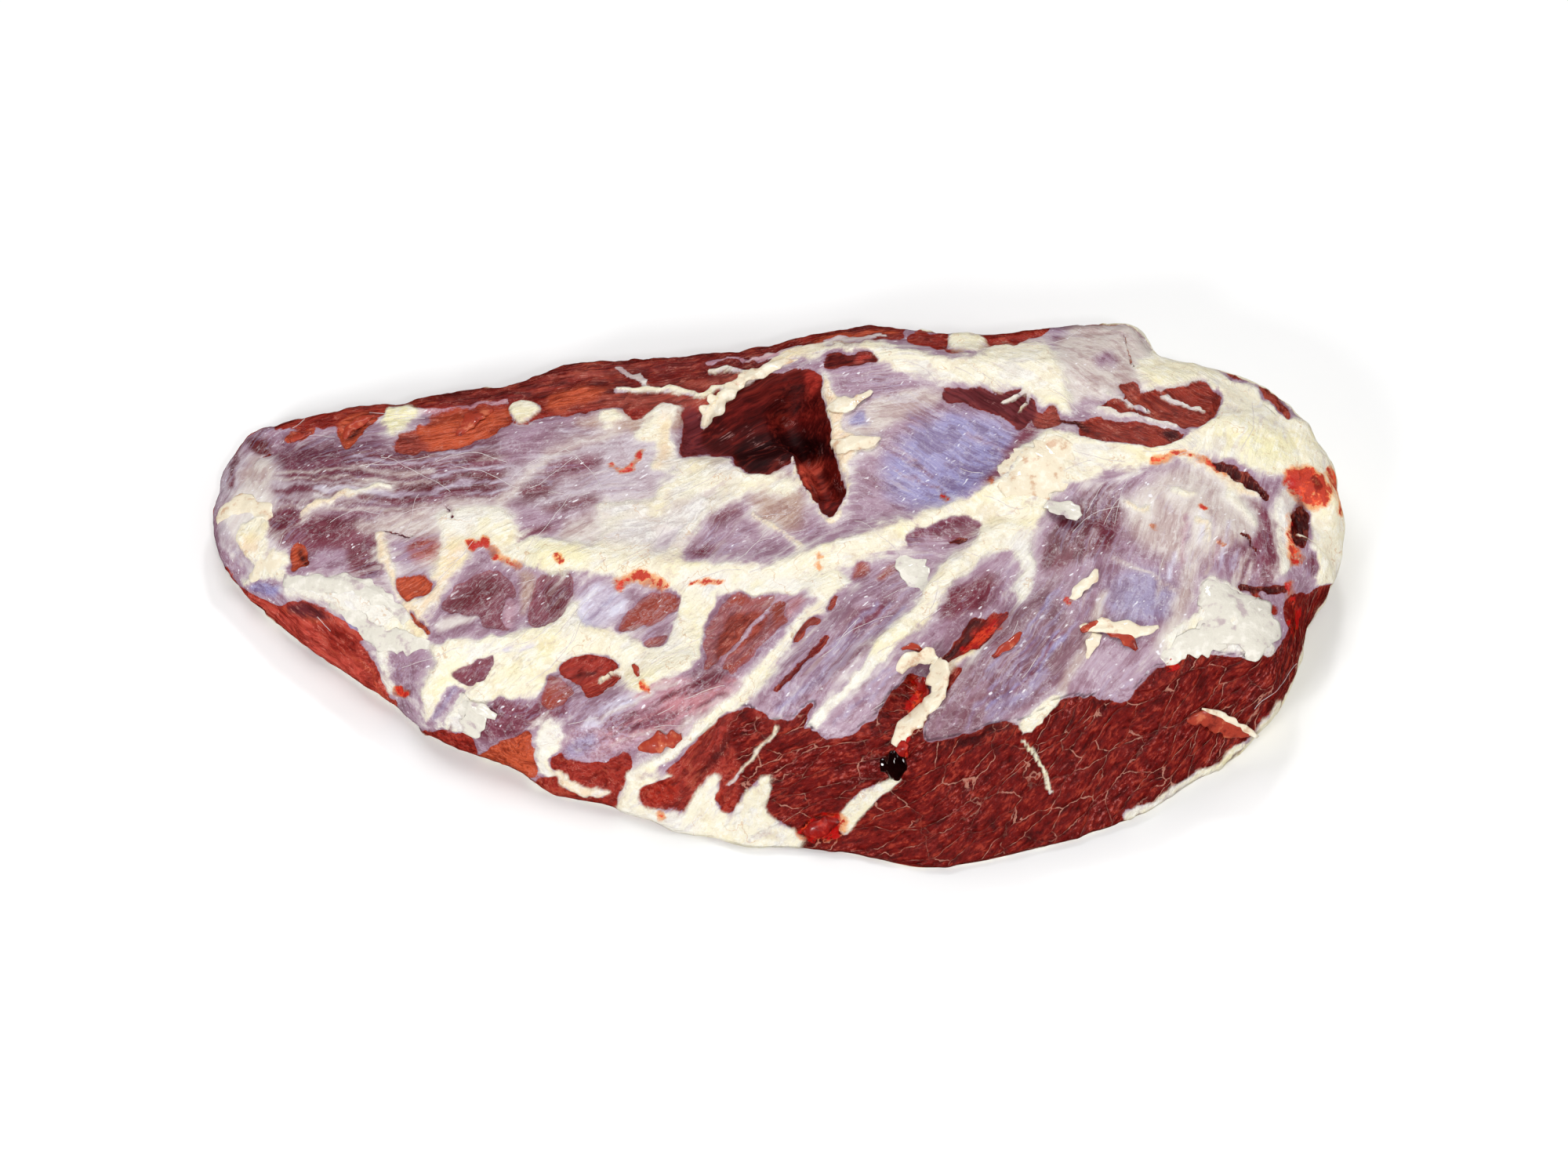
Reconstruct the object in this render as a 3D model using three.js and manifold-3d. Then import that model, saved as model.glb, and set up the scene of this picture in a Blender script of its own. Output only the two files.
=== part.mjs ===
// A boned-out slab of raw beef short rib, lying flat with its rib side up.
//
// The slab is one piece of meat. Its rib side is a gently domed sheet of muscle under silverskin. A long fat
// seam crosses it, and slanting seams mark where the ribs were lifted out, with fingers of meat between them.
// A deep pocket opens near the back edge. The front edge is a slanting knife cut across the grain, high at
// the thick end. The other edges are rounded and tucked under, and the underside lies flat.
//
// Millimetres. x runs along the slab from its thin end to its thick end, y from the cut front edge to the
// back edge, and z up from the surface that it lies on. The origin is under the middle of the slab.
import * as THREE from "three";
import Module from "manifold-3d";

const wasm = await Module();
wasm.setup();

// Driving dimensions: the slab's thickness along its length, and how far its top sinks towards every edge.
const THICKNESS = [
  [-325, 37],
  [-250, 45],
  [-150, 53],
  [-50, 60],
  [50, 69],
  [150, 77],
  [215, 77],
  [270, 73],
  [316, 65],
];
const EDGE_DROOP = 10;
const DROOP_WIDTH = 45;

// The mesh: squares along and across the top, and rings down the side.
const SQUARES_ALONG = 84;
const SQUARES_ACROSS = 38;
const UPPER_RINGS = 5;
const LOWER_RINGS = 2;
const STEPS_PER_SPAN = 10;

// Edge profiles. From the widest line of the slab, `inset` is how far in the top's edge lies and `tuck` how
// far in the foot lies. `girth` is the height of the widest line, and `crisp` runs from 0, round, to 1, flat.
const WALL = { inset: 13, girth: 9, tuck: 6, crisp: 0.5 };
const LIP = { inset: 12, girth: 13, tuck: 12, crisp: 0.2 };
const LOW_CUT = { inset: 17, girth: 7, tuck: 5, crisp: 0.7 };
const CUT = { inset: 39, girth: 4, tuck: 3, crisp: 1 };
const CUT_END = { inset: 26, girth: 6, tuck: 4, crisp: 0.9 };
const CORNER = { inset: 15, girth: 26, tuck: 14, crisp: 0.5 };
const END = { inset: 24, girth: 33, tuck: 20, crisp: 0 };
const BACK = { inset: 24, girth: 25, tuck: 15, crisp: 0.1 };
const TIP = { inset: 18, girth: 17, tuck: 13, crisp: 0.2 };

// The widest line of the slab, anticlockwise from its left front corner, side by side.
const FRONT = [
  [-262, -27, WALL],
  [-238, -46, WALL],
  [-214, -64, WALL],
  [-197, -83, LIP],
  [-172, -96, LIP],
  [-148, -107, LIP],
  [-124, -121, LOW_CUT],
  [-96, -128, LOW_CUT],
  [-68, -138, LOW_CUT],
  [-40, -146, CUT],
  [-12, -153, CUT],
  [16, -154, CUT],
  [44, -160, CUT],
  [72, -167, CUT],
  [100, -164, CUT],
  [128, -157, CUT],
  [158, -147, CUT],
  [187, -134, CUT],
  [214, -117, CUT_END],
  [241, -99, CUT_END],
];
const RIGHT = [
  [266, -80, CORNER],
  [280, -52, CORNER],
  [288, -27, CORNER],
  [303, -3, END],
  [313, 29, END],
  [314, 62, END],
  [309, 91, END],
];
const BACK_SIDE = [
  [295, 118, END],
  [271, 140, BACK],
  [244, 151, BACK],
  [221, 156, BACK],
  [216, 170, BACK],
  [206, 181, BACK],
  [186, 183, BACK],
  [158, 181, BACK],
  [128, 178, BACK],
  [100, 178, BACK],
  [72, 184, BACK],
  [44, 188, BACK],
  [16, 182, BACK],
  [-12, 176, BACK],
  [-40, 173, BACK],
  [-68, 171, BACK],
  [-96, 170, BACK],
  [-122, 168, BACK],
  [-146, 158, BACK],
  [-172, 150, BACK],
  [-200, 146, BACK],
  [-228, 141, BACK],
  [-256, 137, BACK],
  [-282, 129, BACK],
];
const LEFT = [
  [-310, 117, BACK],
  [-323, 98, TIP],
  [-325, 76, TIP],
  [-326, 55, TIP],
  [-320, 35, TIP],
  [-304, 13, WALL],
  [-284, -9, WALL],
];

// Relief of the rib side: lines along which the surface stands up, or sinks where `height` is negative, each
// with its half width. Fat seams and fingers of meat stand up, and the rib beds between them sink.
const RELIEF = [
  { name: "long fat seam", line: [[-130, 0], [-90, -6], [-50, -10], [0, -12], [40, 2], [80, 16], [115, 34]],
    width: 10, height: 3.5 },
  { name: "fat block", line: [[118, 38], [136, 50], [152, 68]], width: 17, height: 4 },
  { name: "fat of the thin end", line: [[-262, 4], [-232, -20], [-205, -42], [-150, -54], [-110, -56]],
    width: 13, height: 2.5 },
  { name: "thin end's cap", line: [[-312, 70], [-300, 38], [-278, 12]], width: 10, height: 2.5 },
  { name: "rib seam 1", line: [[18, -32], [-8, -62], [-35, -88], [-62, -106]], width: 7, height: 3 },
  { name: "rib seam 2", line: [[118, 5], [98, -16], [80, -36], [58, -62], [34, -86], [14, -102]],
    width: 7, height: 4 },
  { name: "rib seam 3", line: [[170, 0], [164, -40], [150, -76], [136, -104]], width: 7, height: 2 },
  { name: "finger A", line: [[-56, -82], [-104, -112]], width: 15, height: 5 },
  { name: "finger B", line: [[-8, -52], [-52, -90]], width: 14, height: 3 },
  { name: "finger C", line: [[44, -40], [-8, -96]], width: 13, height: 5 },
  { name: "finger D", line: [[66, -66], [28, -106]], width: 10, height: 4 },
  { name: "finger E", line: [[132, -58], [84, -116]], width: 17, height: 6 },
  { name: "finger F", line: [[190, -58], [168, -94]], width: 14, height: 4 },
  { name: "rib bed 1", line: [[26, -44], [0, -76], [-24, -96]], width: 8, height: -3 },
  { name: "rib bed 2", line: [[114, -44], [96, -64], [76, -84], [64, -108]], width: 9, height: -7 },
  { name: "back fat ridge", line: [[30, 146], [60, 142], [110, 130], [150, 122]], width: 12, height: 4 },
  { name: "end fat ridge", line: [[166, 66], [205, 62], [245, 78], [276, 80], [296, 50]],
    width: 14, height: 4 },
  { name: "end flank", line: [[225, 20], [250, -10]], width: 24, height: 3 },
  { name: "torn window", line: [[190, 88], [225, 100]], width: 14, height: -3 },
  { name: "red hollow", line: [[-110, -74], [-94, -78]], width: 12, height: -6 },
  { name: "end slash", line: [[248, -30], [272, -30]], width: 9, height: -5 },
];

// Hollows with a floor and steeper walls: the shoulder hollow, which deepens towards the pocket at its right.
const HOLLOWS = [
  { name: "shoulder hollow", line: [[-38, 88], [-14, 92], [4, 104]], width: 17, depth: 11, wall: 22 },
  { name: "hollow's deep end", line: [[4, 110], [10, 84]], width: 9, depth: 11, wall: 16 },
  { name: "rib pocket", line: [[14, 84], [21, 62], [25, 46]], width: 7, depth: 17, wall: 13 },
  { name: "end tear", line: [[284, 38], [288, 20]], width: 5, depth: 11, wall: 12 },
];

// Loose tags of fat and meat: tapering strips that hold to the slab along their length. Each follows a line,
// is `width` across and `thick` high at its middle, and narrows to its ends.
const TAGS = [
  { name: "curled fat", line: [[60, -80, 73], [72, -84, 75], [79, -94, 73], [75, -110, 69], [64, -122, 60]],
    width: 8, thick: 5 },
  { name: "meat tag", line: [[216, -99, 50], [231, -97, 40], [248, -92, 25]], width: 22, thick: 7 },
  { name: "fat tag", line: [[138, 24, 78], [149, 16, 79], [162, 9, 77]], width: 9, thick: 5 },
  { name: "fat under the clot", line: [[55, -136, 37], [42, -143, 24], [26, -150, 10]], width: 9, thick: 5 },
  { name: "foot fat", line: [[-66, -136, 5], [-40, -144, 6], [-12, -151, 7], [14, -152, 5]],
    width: 10, thick: 8 },
  { name: "milky flap", line: [[214, -22, 76], [234, -32, 73], [256, -42, 60]], width: 30, thick: 5 },
];
const TAG_STEPS = 9;
const TAG_SIDES = 8;

const smooth = (t) => {
  const c = Math.min(Math.max(t, 0), 1);
  return c * c * (3 - 2 * c);
};
const mix = (a, b, t) => a + (b - a) * t;

function distanceToLine(x, y, line) {
  let best = Infinity;
  for (let i = 0; i + 1 < line.length; i++) {
    const [ax, ay] = line[i];
    const dx = line[i + 1][0] - ax;
    const dy = line[i + 1][1] - ay;
    const t = Math.min(Math.max(((x - ax) * dx + (y - ay) * dy) / (dx * dx + dy * dy || 1), 0), 1);
    best = Math.min(best, Math.hypot(x - ax - t * dx, y - ay - t * dy));
  }
  return best;
}

// The thickness between the table's places, and past its ends.
function thicknessAt(x) {
  const last = THICKNESS.length - 1;
  if (x <= THICKNESS[0][0]) return THICKNESS[0][1];
  if (x >= THICKNESS[last][0]) return THICKNESS[last][1];
  const i = THICKNESS.findIndex(([at]) => at > x) - 1;
  const [x0, t0] = THICKNESS[i];
  const [x1, t1] = THICKNESS[i + 1];
  return mix(t0, t1, (x - x0) / (x1 - x0));
}

function reliefAt(x, y) {
  let height = 0;
  for (const r of RELIEF) height += r.height * Math.exp(-((distanceToLine(x, y, r.line) / r.width) ** 2));
  for (const h of HOLLOWS) {
    height -= h.depth * smooth(0.5 + (h.width - distanceToLine(x, y, h.line)) / h.wall);
  }
  return height;
}

// A closed Catmull-Rom line through the outline's points, with each point's edge profile blended along it.
function denseOutline() {
  const points = [...FRONT, ...RIGHT, ...BACK_SIDE, ...LEFT];
  const curve = new THREE.CatmullRomCurve3(
    points.map(([x, y]) => new THREE.Vector3(x, y, 0)), true, "catmullrom", 0.5);
  const dense = [];
  points.forEach(([, , profile], i) => {
    const next = points[(i + 1) % points.length][2];
    for (let step = 0; step < STEPS_PER_SPAN; step++) {
      const t = step / STEPS_PER_SPAN;
      const p = curve.getPoint((i + t) / points.length);
      const blend = (key) => mix(profile[key], next[key], smooth(t));
      dense.push({ x: p.x, y: p.y, inset: blend("inset"), girth: blend("girth"), tuck: blend("tuck"),
        crisp: blend("crisp") });
    }
  });
  return dense;
}

// Each point's inward direction, read over a long stretch of the line so that neighbours stay side by side.
const NORMAL_REACH = 12;
function addInwardDirections(dense) {
  dense.forEach((p, i) => {
    const a = dense[(i - NORMAL_REACH + dense.length) % dense.length];
    const b = dense[(i + NORMAL_REACH) % dense.length];
    const length = Math.hypot(b.x - a.x, b.y - a.y);
    p.inX = -(b.y - a.y) / length;
    p.inY = (b.x - a.x) / length;
  });
}

// `count` stations at equal distances along one side of the outline, without its last point.
function stationsOfSide(dense, first, last, count) {
  const side = [];
  for (let i = first; i <= last; i++) side.push(dense[i % dense.length]);
  const along = [0];
  for (let i = 1; i < side.length; i++) {
    along.push(along[i - 1] + Math.hypot(side[i].x - side[i - 1].x, side[i].y - side[i - 1].y));
  }
  const stations = [];
  let i = 0;
  for (let k = 0; k < count; k++) {
    const at = (along[along.length - 1] * k) / count;
    while (along[i + 1] < at) i++;
    const t = (at - along[i]) / (along[i + 1] - along[i]);
    const station = {};
    for (const key of Object.keys(side[0])) station[key] = mix(side[i][key], side[i + 1][key], t);
    stations.push(station);
  }
  return stations;
}

function makeStations() {
  const dense = denseOutline();
  addInwardDirections(dense);
  const corners = [0];
  for (const side of [FRONT, RIGHT, BACK_SIDE, LEFT]) {
    corners.push(corners[corners.length - 1] + side.length * STEPS_PER_SPAN);
  }
  const counts = [SQUARES_ALONG, SQUARES_ACROSS, SQUARES_ALONG, SQUARES_ACROSS];
  return counts.flatMap((count, side) => stationsOfSide(dense, corners[side], corners[side + 1], count));
}

const stations = makeStations();
const topEdge = stations.map((s) => [s.x + s.inX * s.inset, s.y + s.inY * s.inset]);
const closedTopEdge = [...topEdge, topEdge[0]];

// Height of the rib side: the thickness, sunk towards the edge, with its relief.
function topAt(x, y) {
  const near = Math.max(0, 1 - distanceToLine(x, y, closedTopEdge) / DROOP_WIDTH);
  return thicknessAt(x) - EDGE_DROOP * near * near + reliefAt(x, y);
}

// A point on the slab's side at station k. `down` runs from 0 at the top's edge to 1 at the widest line, and
// on to 2 at the foot.
function sidePoint(k, down) {
  const s = stations[k];
  let inset;
  let z;
  if (down <= 1) {
    const top = topAt(...topEdge[k]);
    const angle = (down * Math.PI) / 2;
    inset = s.inset * mix(1 - Math.sin(angle), 1 - down, s.crisp);
    z = s.girth + (top - s.girth) * mix(Math.cos(angle), 1 - down, s.crisp);
  } else {
    const angle = ((down - 1) * Math.PI) / 2;
    inset = s.tuck * (1 - Math.cos(angle));
    z = down === 2 ? 0 : s.girth * (1 - Math.sin(angle));
  }
  return [s.x + s.inX * inset, s.y + s.inY * inset, z];
}

// The rib side's grid, filled in between its four edges by a Coons patch.
function topGrid() {
  const front = (i) => topEdge[i];
  const right = (j) => topEdge[SQUARES_ALONG + j];
  const back = (i) => topEdge[2 * SQUARES_ALONG + SQUARES_ACROSS - i];
  const left = (j) => topEdge[(2 * (SQUARES_ALONG + SQUARES_ACROSS) - j) % topEdge.length];
  const corners = [[front(0), left(SQUARES_ACROSS)], [right(0), back(SQUARES_ALONG)]];
  const grid = [];
  for (let j = 0; j <= SQUARES_ACROSS; j++) {
    const v = j / SQUARES_ACROSS;
    for (let i = 0; i <= SQUARES_ALONG; i++) {
      const u = i / SQUARES_ALONG;
      const at = [0, 1].map((c) => mix(front(i)[c], back(i)[c], v) + mix(left(j)[c], right(j)[c], u)
        - mix(mix(corners[0][0][c], corners[1][0][c], u), mix(corners[0][1][c], corners[1][1][c], u), v));
      grid.push([at[0], at[1], topAt(at[0], at[1])]);
    }
  }
  return grid;
}

// The grid's own edge vertices in the order of the stations.
function gridEdge() {
  const row = SQUARES_ALONG + 1;
  const edge = [];
  for (let i = 0; i < SQUARES_ALONG; i++) edge.push(i);
  for (let j = 0; j < SQUARES_ACROSS; j++) edge.push(j * row + SQUARES_ALONG);
  for (let i = SQUARES_ALONG; i > 0; i--) edge.push(SQUARES_ACROSS * row + i);
  for (let j = SQUARES_ACROSS; j > 0; j--) edge.push(j * row);
  return edge;
}

function solidOf(vertices, triangles) {
  return new wasm.Manifold(new wasm.Mesh({
    numProp: 3, vertProperties: new Float32Array(vertices.flat()), triVerts: new Uint32Array(triangles) }));
}

function slabSolid() {
  const vertices = topGrid();
  const triangles = [];
  const square = (a, b, c, d) => triangles.push(a, b, c, a, c, d);
  const row = SQUARES_ALONG + 1;
  for (let j = 0; j < SQUARES_ACROSS; j++) {
    for (let i = 0; i < SQUARES_ALONG; i++) {
      const a = j * row + i;
      square(a, a + 1, a + 1 + row, a + row);
    }
  }
  let ring = gridEdge();
  for (let r = 1; r <= UPPER_RINGS + LOWER_RINGS; r++) {
    const down = r <= UPPER_RINGS ? r / UPPER_RINGS : 1 + (r - UPPER_RINGS) / LOWER_RINGS;
    const next = stations.map((_, k) => vertices.push(sidePoint(k, down)) - 1);
    ring.forEach((a, k) => square(next[k], next[(k + 1) % ring.length], ring[(k + 1) % ring.length], a));
    ring = next;
  }
  const foot = ring.map((v) => new THREE.Vector2(vertices[v][0], vertices[v][1]));
  for (const [a, b, c] of THREE.ShapeUtils.triangulateShape(foot, [])) {
    triangles.push(ring[c], ring[b], ring[a]);
  }
  return solidOf(vertices, triangles);
}

// A tag: flattened rings along a smooth line, closed by a point at each end.
function tagSolid({ line, width, thick }) {
  const curve = new THREE.CatmullRomCurve3(line.map((p) => new THREE.Vector3(...p)));
  const up = new THREE.Vector3(0, 0, 1);
  const vertices = [curve.getPoint(0).toArray()];
  for (let n = 1; n < TAG_STEPS; n++) {
    const t = n / TAG_STEPS;
    const ahead = curve.getTangent(t);
    const across = new THREE.Vector3().crossVectors(up, ahead).normalize();
    const out = new THREE.Vector3().crossVectors(ahead, across);
    const taper = Math.sqrt(Math.sin(Math.PI * t));
    for (let side = 0; side < TAG_SIDES; side++) {
      const angle = (2 * Math.PI * side) / TAG_SIDES;
      vertices.push(curve.getPoint(t)
        .addScaledVector(across, (width / 2) * taper * Math.cos(angle))
        .addScaledVector(out, (thick / 2) * taper * Math.sin(angle)).toArray());
    }
  }
  const tip = vertices.push(curve.getPoint(1).toArray()) - 1;
  const triangles = [];
  for (let side = 0; side < TAG_SIDES; side++) {
    const next = (side + 1) % TAG_SIDES;
    const last = 1 + (TAG_STEPS - 2) * TAG_SIDES;
    triangles.push(0, 1 + next, 1 + side, tip, last + side, last + next);
    for (let n = 0; n < TAG_STEPS - 2; n++) {
      const a = 1 + n * TAG_SIDES;
      const b = a + TAG_SIDES;
      triangles.push(a + side, a + next, b + next, a + side, b + next, b + side);
    }
  }
  return solidOf(vertices, triangles);
}

function geometryOf(solid) {
  const mesh = solid.getMesh();
  const geometry = new THREE.BufferGeometry();
  geometry.setAttribute("position", new THREE.BufferAttribute(new Float32Array(mesh.vertProperties), 3));
  geometry.setIndex(new THREE.BufferAttribute(new Uint32Array(mesh.triVerts), 1));
  geometry.computeVertexNormals();
  return geometry;
}

const meat = TAGS.reduce((slab, tag) => slab.add(tagSolid(tag)), slabSolid());
const geometry = geometryOf(meat);
const widest = new THREE.Box2().setFromPoints(stations.map((s) => new THREE.Vector2(s.x, s.y)));
const middle = widest.getCenter(new THREE.Vector2());
geometry.translate(-middle.x, -middle.y, 0);

const rawMeat = new THREE.MeshStandardMaterial({ color: 0x9c7478, roughness: 0.4, metalness: 0 });
const slab = new THREE.Mesh(geometry, rawMeat);
slab.name = "short_rib_slab";

const beef = new THREE.Group();
beef.add(slab);
export default beef;
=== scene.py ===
import math
import bpy
import numpy as np
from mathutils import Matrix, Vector
from mathutils.bvhtree import BVHTree


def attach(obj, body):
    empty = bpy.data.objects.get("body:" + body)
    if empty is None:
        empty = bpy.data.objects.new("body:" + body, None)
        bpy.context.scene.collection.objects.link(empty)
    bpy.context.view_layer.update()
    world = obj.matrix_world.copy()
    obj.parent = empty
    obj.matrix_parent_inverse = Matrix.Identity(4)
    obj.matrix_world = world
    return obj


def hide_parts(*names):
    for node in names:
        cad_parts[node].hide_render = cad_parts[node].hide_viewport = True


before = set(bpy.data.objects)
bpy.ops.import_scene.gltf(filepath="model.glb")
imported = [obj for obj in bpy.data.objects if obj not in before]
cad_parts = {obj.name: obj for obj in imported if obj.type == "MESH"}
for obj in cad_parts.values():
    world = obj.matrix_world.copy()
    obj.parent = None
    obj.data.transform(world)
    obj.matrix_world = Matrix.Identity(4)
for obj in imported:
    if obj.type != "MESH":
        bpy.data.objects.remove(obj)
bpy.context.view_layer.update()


# The slab: one boned-out sheet of raw beef, muscle under silverskin with fat seams between its fingers.
# The ribs were lifted out of the side that faces up, its front edge was cut straight with a long knife, and
# the rest was pulled off the carcass by hand, so its other edges are round and ragged.

# Thickness along the slab, and how far and how wide the top sinks towards the edge, all in millimetres.
THICKNESS = [
    (-325, 37), (-250, 45), (-150, 53), (-50, 60), (50, 69), (150, 77), (215, 77), (270, 73), (316, 65),
]
EDGE_DROOP = 10
DROOP_WIDTH = 45

# Edge profiles: how far the top edge lies inside the widest line, the height of that line, how far the foot
# is tucked in under it, and how crisp the edge is, from 0 for round to 1 for a straight cut.
INSET, GIRTH, TUCK, CRISP = range(4)
WALL = (13, 9, 6, 0.5)
LIP = (12, 13, 12, 0.2)
LOW_CUT = (17, 7, 5, 0.7)
CUT = (39, 4, 3, 1.0)
CUT_END = (26, 6, 4, 0.9)
CORNER = (15, 26, 14, 0.5)
END = (24, 33, 20, 0.0)
BACK = (24, 25, 15, 0.1)
TIP = (18, 17, 13, 0.2)

# The widest line of the slab, anticlockwise from its left front corner, one list for each side.
FRONT_SIDE = [
    (-262, -27, WALL), (-238, -46, WALL), (-214, -64, WALL), (-197, -83, LIP), (-172, -96, LIP),
    (-148, -107, LIP), (-124, -121, LOW_CUT), (-96, -128, LOW_CUT), (-68, -138, LOW_CUT), (-40, -146, CUT),
    (-12, -153, CUT), (16, -154, CUT), (44, -160, CUT), (72, -167, CUT), (100, -164, CUT), (128, -157, CUT),
    (158, -147, CUT), (187, -134, CUT), (214, -117, CUT_END), (241, -99, CUT_END),
]
RIGHT_SIDE = [
    (266, -80, CORNER), (280, -52, CORNER), (288, -27, CORNER), (303, -3, END), (313, 29, END),
    (314, 62, END), (309, 91, END),
]
BACK_SIDE = [
    (295, 118, END), (271, 140, BACK), (244, 151, BACK), (221, 156, BACK), (216, 170, BACK),
    (206, 181, BACK), (186, 183, BACK), (158, 181, BACK), (128, 178, BACK), (100, 178, BACK),
    (72, 184, BACK), (44, 188, BACK), (16, 182, BACK), (-12, 176, BACK), (-40, 173, BACK), (-68, 171, BACK),
    (-96, 170, BACK), (-122, 168, BACK), (-146, 158, BACK), (-172, 150, BACK), (-200, 146, BACK),
    (-228, 141, BACK), (-256, 137, BACK), (-282, 129, BACK),
]
LEFT_SIDE = [
    (-310, 117, BACK), (-323, 98, TIP), (-325, 76, TIP), (-326, 55, TIP), (-320, 35, TIP), (-304, 13, WALL),
    (-284, -9, WALL),
]

# Relief of the rib side: each line stands up by its height, or sinks, over its half width.
RELIEF = [
    ("long fat seam", 10, 3.5, [(-130, 0), (-90, -6), (-50, -10), (0, -12), (40, 2), (80, 16), (115, 34)]),
    ("fat block", 17, 4, [(118, 38), (136, 50), (152, 68)]),
    ("fat of the thin end", 13, 2.5, [(-262, 4), (-232, -20), (-205, -42), (-150, -54), (-110, -56)]),
    ("thin end's cap", 10, 2.5, [(-312, 70), (-300, 38), (-278, 12)]),
    ("rib seam 1", 7, 3, [(18, -32), (-8, -62), (-35, -88), (-62, -106)]),
    ("rib seam 2", 7, 4, [(118, 5), (98, -16), (80, -36), (58, -62), (34, -86), (14, -102)]),
    ("rib seam 3", 7, 2, [(170, 0), (164, -40), (150, -76), (136, -104)]),
    ("finger A", 15, 5, [(-56, -82), (-104, -112)]),
    ("finger B", 14, 3, [(-8, -52), (-52, -90)]),
    ("finger C", 13, 5, [(44, -40), (-8, -96)]),
    ("finger D", 10, 4, [(66, -66), (28, -106)]),
    ("finger E", 17, 6, [(132, -58), (84, -116)]),
    ("finger F", 14, 4, [(190, -58), (168, -94)]),
    ("rib bed 1", 8, -3, [(26, -44), (0, -76), (-24, -96)]),
    ("rib bed 2", 9, -7, [(114, -44), (96, -64), (76, -84), (64, -108)]),
    ("back fat ridge", 12, 4, [(30, 146), (60, 142), (110, 130), (150, 122)]),
    ("end fat ridge", 14, 4, [(166, 66), (205, 62), (245, 78), (276, 80), (296, 50)]),
    ("end flank", 24, 3, [(225, 20), (250, -10)]),
    ("torn window", 14, -3, [(190, 88), (225, 100)]),
    ("red hollow", 12, -6, [(-110, -74), (-94, -78)]),
    ("end slash", 9, -5, [(248, -30), (272, -30)]),
]

# Hollows: half width, depth, and how wide their walls are.
HOLLOWS = [
    ("shoulder hollow", 17, 11, 22, [(-38, 88), (-14, 92), (4, 104)]),
    ("hollow's deep end", 9, 11, 16, [(4, 110), (10, 84)]),
    ("rib pocket", 7, 17, 13, [(14, 84), (21, 62), (25, 46)]),
    ("end tear", 5, 11, 12, [(284, 38), (288, 20)]),
]

# The mesh: squares along and across the top, rings down the side, and how much coarser the flat foot is.
SQUARES_ALONG = 336
SQUARES_ACROSS = 162
UPPER_RINGS = 28
LOWER_RINGS = 6
FOOT_COARSENESS = 6
FOOT_RIM = 9.0
STEPS_PER_SPAN = 10
NORMAL_REACH = 12
MM = 0.001

# How far down a vertex lies: 0 on top, 1 on the widest line, 2 on the floor's edge, and this on the foot.
ON_FOOT = 2.2


def smooth(t):
    """0 below 0, 1 above 1, and a smooth step between them."""
    c = np.clip(t, 0.0, 1.0)
    return c * c * (3 - 2 * c)


def mix(a, b, t):
    return a + (b - a) * t


def distance_to_line(points, line):
    """How far each point (a row of x and y) is from a line of points."""
    best = np.full(len(points), np.inf)
    for a, b in zip(line[:-1], line[1:]):
        a = np.asarray(a, float)
        step = np.asarray(b, float) - a
        along = np.clip((points - a) @ step / max(step @ step, 1e-9), 0, 1)
        best = np.minimum(best, np.hypot(*(points - a - along[:, None] * step).T))
    return best


def distance_along(points):
    """How far along its line each point (a row of x and y) lies."""
    return np.concatenate([[0], np.cumsum(np.hypot(*np.diff(points, axis=0).T))])


def curve_point(p0, p1, p2, p3, t):
    """The point of a Catmull-Rom line at the share t of the way from p1 to p2."""
    bend = 2 * p0 - 5 * p1 + 4 * p2 - p3
    twist = 3 * (p1 - p2) + p3 - p0
    return p1 + 0.5 * t * (p2 - p0 + t * (bend + t * twist))


def dense_outline():
    """The widest line as a closed smooth line: x, y and the edge profile, blended along it."""
    points = FRONT_SIDE + RIGHT_SIDE + BACK_SIDE + LEFT_SIDE
    at = np.array([point[:2] for point in points], float)
    profile = np.array([point[2] for point in points], float)
    rows = []
    for i in range(len(points)):
        four = [at[(i + k) % len(points)] for k in (-1, 0, 1, 2)]
        after = profile[(i + 1) % len(points)]
        for step in range(STEPS_PER_SPAN):
            t = step / STEPS_PER_SPAN
            rows.append([*curve_point(*four, t), *mix(profile[i], after, smooth(t))])
    return np.array(rows)


def inward_directions(outline):
    chord = np.roll(outline[:, :2], -NORMAL_REACH, 0) - np.roll(outline[:, :2], NORMAL_REACH, 0)
    return np.column_stack([-chord[:, 1], chord[:, 0]]) / np.hypot(*chord.T)[:, None]


def make_stations():
    """Stations at equal distances along each side of the slab: x, y, inward x and y, and the edge profile."""
    outline = dense_outline()
    table = np.column_stack([outline[:, :2], inward_directions(outline), outline[:, 2:]])
    stations = []
    first = 0
    for side, count in ((FRONT_SIDE, SQUARES_ALONG), (RIGHT_SIDE, SQUARES_ACROSS),
                        (BACK_SIDE, SQUARES_ALONG), (LEFT_SIDE, SQUARES_ACROSS)):
        rows = table[np.arange(first, first + len(side) * STEPS_PER_SPAN + 1) % len(table)]
        along = distance_along(rows[:, :2])
        places = np.arange(count) / count * along[-1]
        stations.append(np.column_stack([np.interp(places, along, column) for column in rows.T]))
        first += len(side) * STEPS_PER_SPAN
    return np.concatenate(stations)


stations = make_stations()
station_at = stations[:, :2]
station_in = stations[:, 2:4]
station_profile = stations[:, 4:]
top_edge = station_at + station_in * station_profile[:, [INSET]]
middle = (station_at.min(0) + station_at.max(0)) / 2


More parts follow.
